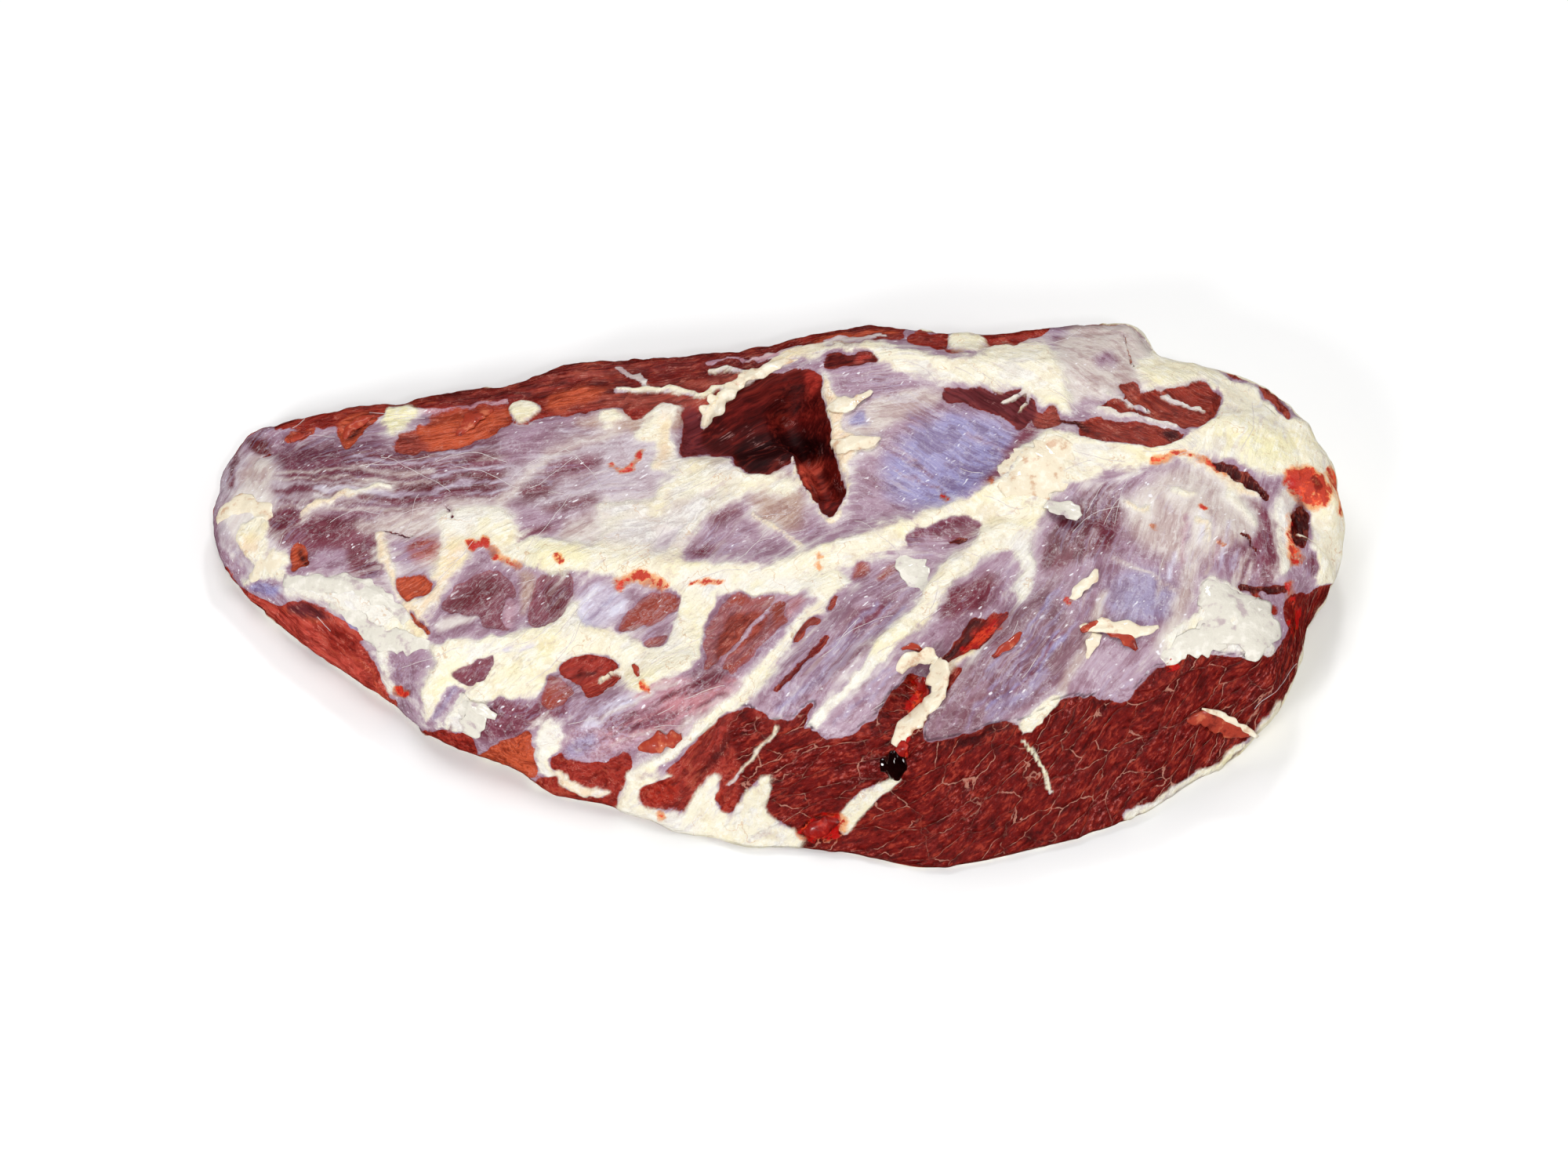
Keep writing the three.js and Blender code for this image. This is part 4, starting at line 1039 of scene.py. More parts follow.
class Finish:
    """A material under construction, with one method that adds a node."""

    def __init__(self, name):
        self.material = bpy.data.materials.new(name)
        self.material.use_nodes = True
        self.tree = self.material.node_tree
        self.tree.nodes.clear()

    def node(self, kind, settings, sockets, out=0):
        made = self.tree.nodes.new(kind)
        for name, value in settings.items():
            setattr(made, name, value)
        for name, value in sockets.items():
            target = made.inputs[name]
            if isinstance(value, Wire):
                self.tree.links.new(value.socket, target)
            else:
                target.default_value = value
        return Wire(self, made.outputs[out]) if len(made.outputs) else None

    def object_place(self):
        return self.node("ShaderNodeTexCoord", {}, {}, "Object")

    def read(self, name, out="Fac"):
        """What the mesh holds by this name, as a number, a Color or a Vector."""
        return self.node("ShaderNodeAttribute", {"attribute_name": name}, {}, out)

    def parts(self, vector):
        made = self.node("ShaderNodeSeparateXYZ", {}, {0: vector}).socket.node
        return [Wire(self, output) for output in made.outputs]

    def noise(self, vector, scale, detail=3.0, rough=0.55, out=0):
        return self.node("ShaderNodeTexNoise", {},
                         {"Vector": vector, "Scale": scale, "Detail": detail, "Roughness": rough}, out)

    def turned(self, vector, degrees, stretch):
        """The pattern's place, turned about z and then drawn out along the new x."""
        turned = self.node("ShaderNodeMapping", {"vector_type": "POINT"},
                           {"Vector": vector, "Rotation": (0, 0, -math.radians(degrees))})
        return self.node("ShaderNodeMapping", {"vector_type": "POINT"},
                         {"Vector": turned, "Scale": (1 / stretch, 1, 1)})

    def warped(self, vector, scale, reach):
        """The pattern's place, moved about by noise as far as reach, in metres."""
        push = self.noise(vector, scale, 2.0, 0.5, "Color")
        push = self.node("ShaderNodeVectorMath", {"operation": "SUBTRACT"}, {0: push, 1: (0.5, 0.5, 0.5)})
        push = self.node("ShaderNodeVectorMath", {"operation": "SCALE"}, {0: push, "Scale": reach * 2})
        return self.node("ShaderNodeVectorMath", {"operation": "ADD"}, {0: vector, 1: push})

    def between(self, value, low, high):
        """0 below low, 1 above high, and a smooth step between them."""
        return self.node("ShaderNodeMapRange", {"interpolation_type": "SMOOTHSTEP"},
                         {"Value": value, "From Min": low, "From Max": high})

    def apart(self, value, other):
        """How far two numbers are apart."""
        return self.node("ShaderNodeMath", {"operation": "ABSOLUTE"}, {0: value - other})

    def larger(self, value, other):
        return self.node("ShaderNodeMath", {"operation": "MAXIMUM"}, {0: value, 1: other})

    def blend(self, under, over, share, mode="MIX"):
        return self.node("ShaderNodeMix", {"data_type": "RGBA", "blend_type": mode},
                         {"Factor": share, 6: under, 7: over}, 2)

    def tint(self, under, seen, share, pattern, low, high):
        """A seen colour laid over, from none where the pattern is at low to the share where it is at high."""
        return self.blend(under, ink(*seen), self.between(pattern, low, high) * share)

    def shade(self, under, factors, share, pattern, low, high):
        """The same, but the colour under it is darkened by three factors."""
        return self.blend(under, (*factors, 1), self.between(pattern, low, high) * share, "MULTIPLY")

    def bump(self, height, strength, distance):
        return self.node("ShaderNodeBump", {},
                         {"Strength": strength, "Distance": distance, "Height": height}, "Normal")

    def close(self, sockets, dull=None):
        """End the material. Where `dull` is 1 it hardly reflects."""
        surface = self.node("ShaderNodeBsdfPrincipled", {}, sockets)
        if dull is not None:
            matte = self.node("ShaderNodeBsdfPrincipled", {}, {**sockets, "Specular IOR Level": 0.05})
            surface = self.node("ShaderNodeMixShader", {}, {0: dull, 1: surface, 2: matte})
        self.node("ShaderNodeOutputMaterial", {}, {"Surface": surface})
        return self.material


def strand_pattern(finish, place, size, stretch, detail):
    """Strands along the slab's own directions, blended by the mesh's grain weights."""
    low, high = (finish.parts(finish.read(name, "Vector")) for name in ("grain_low", "grain_high"))
    total = None
    for share, degrees in zip(low + high, GRAIN_DIRECTIONS):
        # The directions are read in the view, which looks down at a slant.
        seen = math.radians(degrees)
        plan = math.degrees(math.atan2(math.sin(seen) / math.sin(ELEVATION), math.cos(seen)))
        strand = finish.noise(finish.turned(place, plan, stretch), 1 / size, detail, 0.62) * share
        total = strand if total is None else total + strand
    return total


class Beef(Finish):
    """The slab's material: silverskin, bare muscle, the hollow, the knife's cut, fat and blood."""

    def __init__(self):
        super().__init__("raw_beef")
        place = self.object_place()
        self.bent = self.warped(place, 26, 0.006)
        self.grit = self.noise(self.bent, 150, 6, 0.70)
        self.fine = self.noise(place, 700, 2)
        self.lumps = self.noise(self.bent, 62, 5, 0.6)
        self.broad = self.noise(place, 26, 3)
        # Small specks where painted glints go on the silverskin.
        self.glints = self.noise(self.turned(place, 40, 2.2), 560, 0)
        self.rim = self.read("rim", "Vector")
        strands = strand_pattern(self, self.bent, 0.0058, 13, 4)
        pulled = self.noise(self.turned(self.warped(self.rim, 40, 0.005), -60, 6), 190, 5, 0.62)
        self.strands = strands + (pulled - strands) * self.read("pulled")
        self.threads = strand_pattern(self, self.bent, 0.0019, 34, 2)
        self.strand_rims = self.between(self.apart(self.strands, 0.5), 0.022, 0.0)
        # Thin lines along the threads' ridges, where painted highlights are laid.
        self.thread_glints = self.between(self.apart(self.threads, 0.52), 0.035, 0.0)
        self.lump_rims = self.between(self.apart(self.lumps, 0.5), 0.022, 0.0)

        # The cut: bundles of muscle with gaps between them, a mottle over them and crumbs in it.
        across = self.turned(self.warped(self.warped(self.rim, 24, 0.004), 150, 0.0018), -27, 3.0)
        self.bundles = self.node("ShaderNodeTexVoronoi", {"feature": "DISTANCE_TO_EDGE"},
                                 {"Vector": across, "Scale": 104.0}, "Distance")
        self.mottle = self.noise(self.turned(self.warped(self.rim, 120, 0.002), -30, 2.6), 210, 5, 0.66)
        self.crumbs = self.noise(self.turned(self.rim, -30, 2.2), 520, 4, 0.65)

        # How far each layer shows, its edge broken up by the grit and the strands.
        grit, strands = self.grit - 0.5, self.strands - 0.5
        self.haze = self.read("haze")
        self.cut = self.read("cut")
        self.deep = self.read("deep")
        self.fat = self.between(self.read("fat") + grit * 0.7 + strands * 0.6, 0.30, 0.70)
        self.bare = self.between(self.read("bare") + grit * 0.8 + strands * 0.8, 0.42, 0.58)
        self.glassy = self.read("glassy") * self.bare
        self.spread = self.read("blood")
        ragged = (grit * 3.2 + strands * 1.5) * self.between(self.spread, 0.0, 0.3)
        self.blood = self.between(self.spread + ragged, 0.46, 0.76)
        ragged = grit * 1.6 * self.between(self.spread, 0.0, 0.2)
        self.soaked = self.between(self.spread + ragged, 0.08, 0.48)

    def silverskin(self):
        """Clear over the muscle, showing purple through it, milky towards the fat, with painted white glints.
        """
        strands, threads, grit, lumps, broad = self.strands, self.threads, self.grit, self.lumps, self.broad
        milk = (0.93, 0.91, 0.88)
        clear = self.between(self.haze, 0.55, 0.05) * (1.0 - self.glassy * 0.55)
        veil = self.blend(self.read("veil", "Color"), self.read("flesh", "Color"), self.glassy)
        veil = self.shade(veil, (0.56, 0.36, 0.40), 0.6 * clear, strands + (lumps - 0.5) * 0.7, 0.54, 0.42)
        veil = self.tint(veil, (0.50, 0.26, 0.30), 0.45 * clear, broad + (strands - 0.5) * 0.6, 0.56, 0.72)
        veil = self.shade(veil, (0.62, 0.46, 0.52), 0.42 * clear, threads + (grit - 0.5) * 0.3, 0.50, 0.40)
        veil = self.tint(veil, (0.74, 0.73, 0.86), 0.20 * clear, threads + (broad - 0.5) * 0.8, 0.55, 0.68)
        veil = self.tint(veil, milk, 0.20, strands + (broad - 0.5) * 0.5 + self.haze * 0.15, 0.57, 0.70)
        veil = self.tint(veil, milk, 0.9, self.haze + (strands - 0.5) * 1.3 + (grit - 0.5) * 0.35, 0.20, 0.86)
        veil = self.blend(veil, ink(0.88, 0.85, 0.88), self.strand_rims * 0.12 + self.lump_rims * 0.16)
        # Painted highlights: white glints along the threads' ridges and in small specks.
        veil = self.tint(veil, (0.95, 0.94, 0.94), self.thread_glints * 0.25, grit, 0.50, 0.60)
        painted_glints = self.between(self.glints, 0.74, 0.80)
        return self.tint(veil, (0.97, 0.96, 0.98), painted_glints * 0.75, lumps, 0.42, 0.60)

    def muscle(self):
        """Bare muscle: strands, darker between them, with a painted highlight along the threads' ridges."""
        strands, threads, grit, lumps = self.strands, self.threads, self.grit, self.lumps
        torn = (1.0 - self.cut) * (1.0 - self.deep)
        flesh = self.read("flesh", "Color")
        flesh = self.shade(flesh, (0.50, 0.34, 0.34), 0.75 * torn, strands + (grit - 0.5) * 0.6, 0.54, 0.38)
        flesh = self.tint(flesh, (0.74, 0.33, 0.24), 0.5 * torn, lumps + threads - 0.5, 0.54, 0.74)
        flesh = self.shade(flesh, (0.50, 0.36, 0.36), 0.65 * torn, threads + (lumps - 0.5) * 0.5, 0.50, 0.40)
        # Painted highlight: pale salmon along the threads' ridges.
        return self.tint(flesh, (0.88, 0.62, 0.54), self.thread_glints * 0.4 * torn, grit, 0.50, 0.62)

    def hollow(self, flesh):
        """Smooth, dark wet strands side by side, each a little lighter along its back, with painted glints.
        """
        strands, threads, deep = self.strands, self.threads, self.deep
        flesh = self.shade(flesh, (0.58, 0.34, 0.36), 0.8 * deep, strands, 0.56, 0.42)
        flesh = self.tint(flesh, (0.52, 0.16, 0.11), 0.35 * deep, strands + (threads - 0.5) * 0.7, 0.53, 0.68)
        flesh = self.shade(flesh, (0.45, 0.25, 0.26), 0.6 * deep, threads, 0.50, 0.42)
        # Painted glints: pale pink along the threads' ridges.
        return self.tint(flesh, (0.80, 0.58, 0.56), self.thread_glints * 0.4 * deep, self.lumps, 0.56, 0.66)

    def knife_cut(self, flesh):
        """Coarse bundles of muscle cut across, fat in a few gaps, painted shade along the gaps and a painted
        wet sheen.
        """
        bundles, mottle, crumbs, cut = self.bundles, self.mottle, self.crumbs, self.cut
        flesh = self.shade(flesh, (0.42, 0.24, 0.24), 0.9 * cut, mottle, 0.52, 0.36)
        flesh = self.tint(flesh, (0.68, 0.24, 0.17), 0.7 * cut, mottle + (crumbs - 0.5) * 0.8, 0.52, 0.68)
        flesh = self.shade(flesh, (0.42, 0.26, 0.26), 0.8 * cut, crumbs, 0.50, 0.36)
        # Painted wet sheen: pale pink specks in diagonal patches.
        sheen = self.between(self.noise(self.turned(self.rim, -27, 3), 44, 3), 0.50, 0.64) * 0.4 * cut
        flesh = self.tint(flesh, (0.80, 0.48, 0.46), sheen, crumbs + (self.fine - 0.5) * 0.5, 0.55, 0.65)
        # Painted shade: darker along the gaps between the bundles.
        flesh = self.shade(flesh, (0.50, 0.36, 0.36), 0.55 * cut, bundles + (crumbs - 0.5) * 0.1, 0.09, 0.0)
        rich = self.between(self.noise(self.rim, 70, 3), 0.45, 0.58)
        width = 0.011 + rich * 0.008
        share = (0.12 + rich * 0.54) * cut
        gaps = bundles + (crumbs - 0.5) * 0.07
        return self.tint(flesh, (0.82, 0.57, 0.49), share, gaps, width, width * 0.4)

    def suet(self):
        """Cream and waxy, yellower in broad patches, a few fine brown cracks, painted highlights and painted
        shade.
        """
        strands, grit, lumps = self.strands, self.grit, self.lumps
        patch = self.noise(self.bent, 34, 4)
        suet = self.tint(self.read("suet", "Color"), (0.96, 0.91, 0.70), 0.5, patch, 0.52, 0.68)
        # Painted shade: bluish grey in the folds, where the strands lie low.
        suet = self.tint(suet, (0.86, 0.84, 0.85), 0.5, strands + (patch - 0.5) * 0.8, 0.48, 0.34)
        # Painted highlight: near white where the grit and threads stand high.
        suet = self.tint(suet, (0.99, 0.98, 0.95), 0.5, grit + (self.threads - 0.5) * 0.5, 0.49, 0.62)
        cracks = self.between(self.apart(patch, 0.5), 0.007, 0.001)
        suet = self.tint(suet, (0.82, 0.66, 0.50), cracks * 0.6, lumps, 0.44, 0.56)
        # Painted shade: greyer in the creases, thin shadow lines along them, darker in the hollows between
        # lumps.
        suet = self.tint(suet, (0.82, 0.73, 0.68), 0.5, strands + (grit - 0.5) * 0.9, 0.40, 0.28)
        suet = self.shade(suet, (0.80, 0.70, 0.60), 0.35, self.apart(strands, 0.47), 0.014, 0.0)
        return self.shade(suet, (0.86, 0.80, 0.76), 0.6, lumps + (grit - 0.5) * 0.5, 0.46, 0.34)

    def bloodied(self, skin):
        """The skin orange where blood soaked in, wet red where it lies, and dark where it lies thick."""
        skin = self.blend(skin, (0.95, 0.42, 0.17, 1), self.soaked * 0.85, "MULTIPLY")
        gore = self.tint(ink(0.93, 0.27, 0.13), (0.74, 0.05, 0.04), 1.0,
                         self.grit + (self.lumps - 0.5) * 0.8, 0.44, 0.56)
        skin = self.blend(skin, gore, self.blood * 0.9)
        return self.tint(skin, (0.42, 0.03, 0.02), 0.7, self.spread + (self.lumps - 0.5) * 2.2, 1.20, 1.35)

    def relief(self):
        """How high each pattern stands, which depends on the tissue it lies in."""
        strands, threads, grit, lumps = (p - 0.5 for p in (self.strands, self.threads, self.grit, self.lumps))
        rough = self.larger(self.fat, (self.bare - self.glassy) * (1.0 - self.deep))
        height = strands * 0.6 + threads * 0.6 + grit * 0.9
        height = height * (0.34 + 0.66 * rough) * (1.0 - self.deep * 0.7)
        height = height + self.fine * (0.20 - self.deep * 0.16)
        height = height + (lumps * 1.9 + strands * 1.2) * self.fat + self.fat * 0.10
        gaps = self.between(self.bundles, 0.0, 0.15)
        height = height + ((self.mottle - 0.5) * 1.6 + (self.crumbs - 0.5) * 0.9 + gaps * 0.6) * self.cut
        height = height + (strands * 1.2 + threads * 0.8) * self.bare * (1.0 - self.cut - self.deep * 0.6)
        return self.bump(height, 0.85, 0.0016)

    def finished(self):
        flesh = self.knife_cut(self.hollow(self.muscle()))
        skin = self.blend(self.silverskin(), flesh, self.bare - self.glassy)
        skin = self.blend(skin, self.suet(), self.fat)
        roughness = 0.20 + 0.35 * self.deep + 0.12 * self.fat
        roughness = roughness + 0.20 * (self.fine - 0.5) + 0.20 * (self.grit - 0.5)
        return self.close({"Base Color": self.bloodied(skin), "Roughness": roughness, "Normal": self.relief(),
                           "Specular IOR Level": 0.25}, self.deep * 0.9 + self.cut * 0.35)


slab.data.materials.append(Beef().finished())
shade_smooth(slab.data)
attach(slab, "root")
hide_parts("short_rib_slab")


# Loose fat: strips and flaps of suet and skin that the knife left hanging on, lying on the slab. Each is a
# thickness and a row of stops: a pixel of the view, the half width there, and then, where they aren't 0, its
# lift off the slab and its roll in degrees.
LOOSE_FAT = {
    "curled_fat": (4.4, [
        (1147, 858, 1.5), (1153, 846, 3.2, 1), (1168, 838, 4.2, 2, 15), (1186, 842, 5, 2.5, 25),
        (1199, 858, 5.4, 2.5, 25), (1201, 878, 5.6, 2, 10), (1190, 896, 6, 1.5), (1172, 913, 6.4, 0.5),
        (1156, 932, 5, 0.2), (1142, 952, 2, -0.4)]),
    "tag_edge": (1.4, [
        (1532, 903, 0.8, 1), (1550, 908, 1.6, 2), (1570, 916, 2.2, 2.5), (1588, 928, 2.2, 2),
        (1602, 938, 0.8, 1)]),
    "spur_fat": (0.8, [
        (1180, 752, 2, -0.3), (1173, 740, 6, 0.2), (1166, 728, 8, 0.4), (1156, 716, 7, 0.3),
        (1146, 706, 2, -0.3)]),
    "leaf_fat": (0.9, [(1334, 642, 3), (1348, 650, 5, 2, 10), (1364, 658, 5.5, 4, 10), (1377, 666, 3, 4)]),
    "shred_fat": (1.0, [(1368, 765, 2), (1378, 752, 3, 1), (1392, 744, 3, 2), (1398, 728, 1, 1)]),
    "arm_fat": (1.7, [
        (1378, 802, 2), (1402, 800, 4, 1, 10), (1430, 803, 4, 2), (1456, 804, 3, 1), (1478, 800, 2)]),
    "arm_spur_fat": (1.3, [(1398, 808, 3), (1392, 824, 3, 1), (1386, 840, 1)]),
    "milky_flap": (1.0, [
        (1535, 742, 5, -0.3), (1556, 760, 13), (1574, 780, 19, 0.3), (1590, 800, 20, 0.5),
        (1600, 822, 12, 0.5), (1606, 838, 3, 0.3)]),
    "milky_flap_tail": (0.9, [
        (1562, 812, 7, -0.2), (1535, 818, 7, 0.2), (1505, 828, 5, 0.2), (1485, 845, 3, -0.2)]),
    "hollow_ribbon": (1.9, [
        (896, 545, 2, -0.4), (912, 520, 4), (930, 498, 5, 0.3, 10), (950, 484, 4, 0.3, 20), (972, 472, 4),
        (996, 464, 3, -0.1), (1018, 458, 1, -0.4)]),
    "white_leaf": (0.8, [(575, 905, 3, -0.3), (592, 906, 6, 0.2), (604, 918, 7, 0.5), (600, 938, 4, 0.5)]),
    "white_curl": (1.3, [(590, 898, 2), (612, 902, 3, 2, 30), (634, 914, 2, 1)]),
    "skin_fold": (1.0, [
        (362, 741, 3, -0.3), (400, 744, 5), (438, 742, 5, 0.2), (470, 752, 5, 0.2), (492, 766, 4),
        (520, 792, 3, -0.3)]),
    "skin_fold_low": (1.0, [
        (420, 770, 2, -0.3), (455, 790, 4), (478, 812, 5, 0.2), (520, 820, 5), (548, 822, 2, -0.3)]),
    "end_cap_fat": (1.4, [
        (276, 664, 3, -0.4), (290, 650, 7, -0.2), (312, 645, 8), (334, 652, 5, -0.2), (344, 662, 2, -0.4)]),
    "tip_fat": (1.2, [(318, 738, 2, -0.4), (334, 722, 6, -0.1), (352, 716, 7, -0.1), (368, 708, 3, -0.4)]),
    "patch_slab": (1.4, [
        (1278, 628, 5, -0.3), (1300, 612, 12, -0.1), (1324, 592, 15), (1346, 574, 12, -0.1),
        (1358, 560, 5, -0.3)]),
    "pocket_tag": (1.1, [(1055, 520, 2), (1075, 515, 5, 1), (1098, 510, 3, 2), (1112, 500, 1, 1)]),
    "pocket_tag_low": (1.1, [(1060, 565, 2), (1080, 568, 6, 1), (1102, 566, 5, 1.5), (1122, 560, 1, 1)]),
}
MILKY_NAMES = ("milky", "skin", "white", "leaf", "spur")
POINTS_AROUND = 16
RINGS_PER_STOP = 9
THINNEST_HALF = 0.4
SETTLE_FROM = 14
SETTLE_REACH = 30
slab_tree = BVHTree.FromPolygons(vertices.tolist(), faces)


def on_slab(pixel):
    """The point of the slab that shows at a pixel and which way it faces, or None where no slab shows."""
    x, y = pixel
    ray = view_ahead + (view_right * (x - PHOTO_WIDTH / 2) - view_up * (y - PHOTO_HEIGHT / 2)) / focal_px
    place, normal, _, _ = slab_tree.ray_cast(Vector(eye), Vector(ray).normalized())
    return None if place is None else (np.array(place), np.array(normal))


def smooth_line(points, count):
    """A Catmull-Rom line through rows of numbers."""
    points = np.asarray(points, float)
    points = np.vstack([2 * points[0] - points[1], points, 2 * points[-1] - points[-2]])
    rows = []
    for t in np.linspace(0, len(points) - 3, count):
        i = min(int(t), len(points) - 4)
        rows.append(curve_point(*points[i:i + 4], t - i))
    return np.array(rows)


def softened(rows):
    for _ in range(4):
        rows = np.vstack([rows[:1], (rows[:-2] + 2 * rows[1:-1] + rows[2:]) / 4, rows[-1:]])
    return rows


def unit(rows):
    return rows / np.linalg.norm(rows, axis=-1, keepdims=True)


def settled(points, normal, lift):
    """Points moved along the slab's normal until they lie `lift` above it."""
    moved = []
    for point, up, high in zip(points, normal, lift):
        place, _, _, _ = slab_tree.ray_cast(Vector(point + up * SETTLE_FROM), Vector(-up), SETTLE_REACH)
        moved.append(point if place is None else np.array(place) + up * high)
    return np.array(moved)


def outward(points, faces):
    """The faces turned so that the closed skin looks outwards."""
    volume = 0.0
    for face in faces:
        a, b, c = points[face[0]], points[face[1]], points[face[2]]
        volume += a @ np.cross(b, c)
        if len(face) == 4:
            volume += a @ np.cross(c, points[face[3]])
    return faces if volume > 0 else [face[::-1] for face in faces]


def strip(thick, stops, seed):
    """A closed, tapering strip of tissue along pixels of the view, with frayed edges."""
    stops = [(*stop, 0, 0)[:5] for stop in stops]
    rows = smooth_line(stops, RINGS_PER_STOP * len(stops))
    places, faced = zip(*(on_slab(row[:2]) for row in rows))
    centre = softened(np.array(places))
    normal = unit(softened(np.array(faced)))
    along = unit(np.gradient(centre, axis=0))
    side = unit(np.cross(along, normal))
    roll = np.radians(rows[:, [4]])
    rings = []
    for turn in np.arange(POINTS_AROUND) * 2 * math.pi / POINTS_AROUND:
        across = math.cos(turn)
        edge = centre + side * (np.sign(across) * 3)
        fray = 1 + 0.46 * lattice_noise(edge, 8, seed) + 0.44 * lattice_noise(edge, 3.4, seed + 1)
        half = np.maximum(THINNEST_HALF, rows[:, 2] * fray)[:, None]
        flat = centre + side * (half * across) * np.cos(roll)
        tilt = np.abs(half * across * np.sin(roll))[:, 0]
        lift = rows[:, 3] + tilt + 0.6 * lattice_noise(flat, 9, seed + 2)
        bulge = thick / 2 * math.sin(turn) * np.minimum(1, half / thick)
        rings.append(settled(flat, normal, lift) + normal * bulge)
    ends = settled(centre[[0, -1]], normal[[0, -1]], rows[[0, -1], 3])
    points = np.vstack([np.stack(rings, 1).reshape(-1, 3), ends])
    at = np.arange(len(rows) * POINTS_AROUND).reshape(-1, POINTS_AROUND)
    ahead = np.roll(at, -1, 1)
    quads = np.stack([at[:-1], ahead[:-1], ahead[1:], at[1:]], -1).reshape(-1, 4)
    first, last = at.size, at.size + 1
    faces = [tuple(quad) for quad in quads.tolist()]
    faces += [(first, after, before) for before, after in zip(at[0], ahead[0])]
    faces += [(last, before, after) for before, after in zip(at[-1], ahead[-1])]
    return points, outward(points, faces)


def tissue_finish(name, tone, dark, light, roughness, uneven=0.7, coat=0.35):
    """Loose tissue: one tone with painted shade in its hollows, painted highlights on its ridges, and a wet
    coat.
    """
    f = Finish(name)
    place = f.object_place()
    grit = f.noise(place, 242, 5, 0.65)
    lumps = f.noise(place, 110, 4)
    # Painted shade where the lumps lie low and painted highlight where they stand high.
    colour = f.tint(ink(*tone), dark, 0.8, lumps + (grit - 0.5) * 0.6, 0.46, 0.28)
    colour = f.tint(colour, light, 0.7, lumps + (grit - 0.5) * 0.7, 0.52, 0.70)
    return f.close({"Base Color": colour, "Roughness": roughness + 0.1 * (grit - 0.5),
                    "Normal": f.bump(grit + lumps, uneven, 0.0012), "Specular IOR Level": 0.25,
                    "Coat Weight": coat, "Coat Roughness": 0.05})


def lay(name, thick, stops, seed, finish, slot):
    """Lay one strip of tissue on the slab, its edges frayed by noise of this seed."""
    piece = mesh_object(name, *strip(thick, stops, seed))
    piece.data.materials.append(finish)
    shade_smooth(piece.data)
    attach(piece, "root")


# Each loose finish gives a tone, then its painted shade and painted highlight colours, then its roughness.
loose_fat = tissue_finish("beef_fat", (0.93, 0.88, 0.78), (0.80, 0.62, 0.48), (0.98, 0.96, 0.90), 0.45)
milky_skin = tissue_finish("milky_skin", (0.87, 0.85, 0.80), (0.72, 0.64, 0.66), (0.95, 0.93, 0.89), 0.35)
for k, (name, piece) in enumerate(LOOSE_FAT.items()):
    lay(name, *piece, 60 + 4 * k, milky_skin if name.startswith(MILKY_NAMES) else loose_fat, "beef_fat")


# Scraps of meat that the knife left on top of the slab: thin torn shreds of muscle that stick to it, and that
# turned orange red where they dried in the air.
SCRAPS = {
    "dark_oval": (4.0, [(814, 955, 1.5), (832, 950, 4.5, 0.5), (852, 944, 5, 1), (870, 941, 2)]),
    "meat_tag": (2.6, [
        (1514, 917, 1), (1532, 917, 4.5, 1), (1556, 922, 5.5, 1.5), (1578, 931, 4, 2), (1594, 938, 1, 1)]),
    "scrap_of_the_slit": (1.6, [
        (1266, 838, 1), (1278, 829, 2.6, 0.5), (1289, 820, 2.8, 0.5), (1302, 806, 1)]),
    "scrap_of_the_arm": (1.8, [
        (1410, 806, 1, 0.5), (1424, 811, 3, 1.5), (1440, 819, 3, 1.5), (1450, 829, 1)]),
    "scrap_2_of_the_arm": (1.4, [(1378, 805, 1, 0.5), (1390, 799, 2.4, 1), (1406, 795, 1, 1)]),
    "scrap_of_finger_d": (1.2, [(1150, 828, 1), (1164, 825, 2, 0.5), (1178, 832, 1)]),
    "orange_bit_3": (1.2, [(808, 848, 1), (812, 856, 1.6, 0.3), (814, 863, 1)]),
    "orange_of_the_rim": (1.6, [(370, 562, 1), (384, 557, 2.6, 0.5), (398, 552, 1)]),
    "notch_flesh": (2.4, [(440, 560, 1), (448, 545, 3.4, 0.5), (464, 536, 3.4, 0.5), (478, 530, 1)]),
    "rust_flesh": (2.8, [(584, 556, 1.5), (594, 544, 5, 1), (610, 532, 5.5, 1), (628, 522, 2)]),
}
scrap = tissue_finish("meat_scrap", (0.66, 0.22, 0.14), (0.40, 0.07, 0.05), (0.84, 0.46, 0.32), 0.42)
for k, (name, piece) in enumerate(SCRAPS.items()):
    lay(name, *piece, 200 + 4 * k, scrap, "raw_beef")


# Blood: one black clot at the mouth of a cut vessel, which set to a glossy drop, and three shreds of meat
# soaked with fresh blood, by it, under the curl of fat and at the foot of the cut.
CLOT = [(1123, 977, 4), (1131, 977, 7.5), (1141, 978, 8), (1151, 979, 7), (1157, 980, 2)]
BLOODY_SHREDS = {
    "bloody_lump": (4.0, [(1026, 1062, 2), (1042, 1056, 4, 0.5), (1058, 1052, 3.5, 0.5), (1070, 1047, 1)]),
    "bloody_curl": (2.4, [(1168, 866, 1.5, 0.5), (1178, 876, 3, 1), (1182, 890, 3, 1), (1174, 902, 1.5)]),
    "bloody_mouth": (2.4, [(1150, 940, 1.5), (1152, 952, 3, 0.5), (1146, 964, 3, 0.5), (1132, 968, 1.5)]),
}
clotted = tissue_finish("clotted_blood", (0.07, 0.01, 0.01), (0.03, 0.0, 0.0), (0.16, 0.02, 0.02), 0.10,
                        uneven=0.10, coat=1.0)
lay("clot", 11.0, CLOT, 300, clotted, "blood")
bloody = tissue_finish("bloody_meat", (0.56, 0.07, 0.05), (0.26, 0.02, 0.02), (0.80, 0.22, 0.16), 0.25)
for k, (name, piece) in enumerate(BLOODY_SHREDS.items()):
    lay(name, *piece, 320 + 4 * k, bloody, "blood")


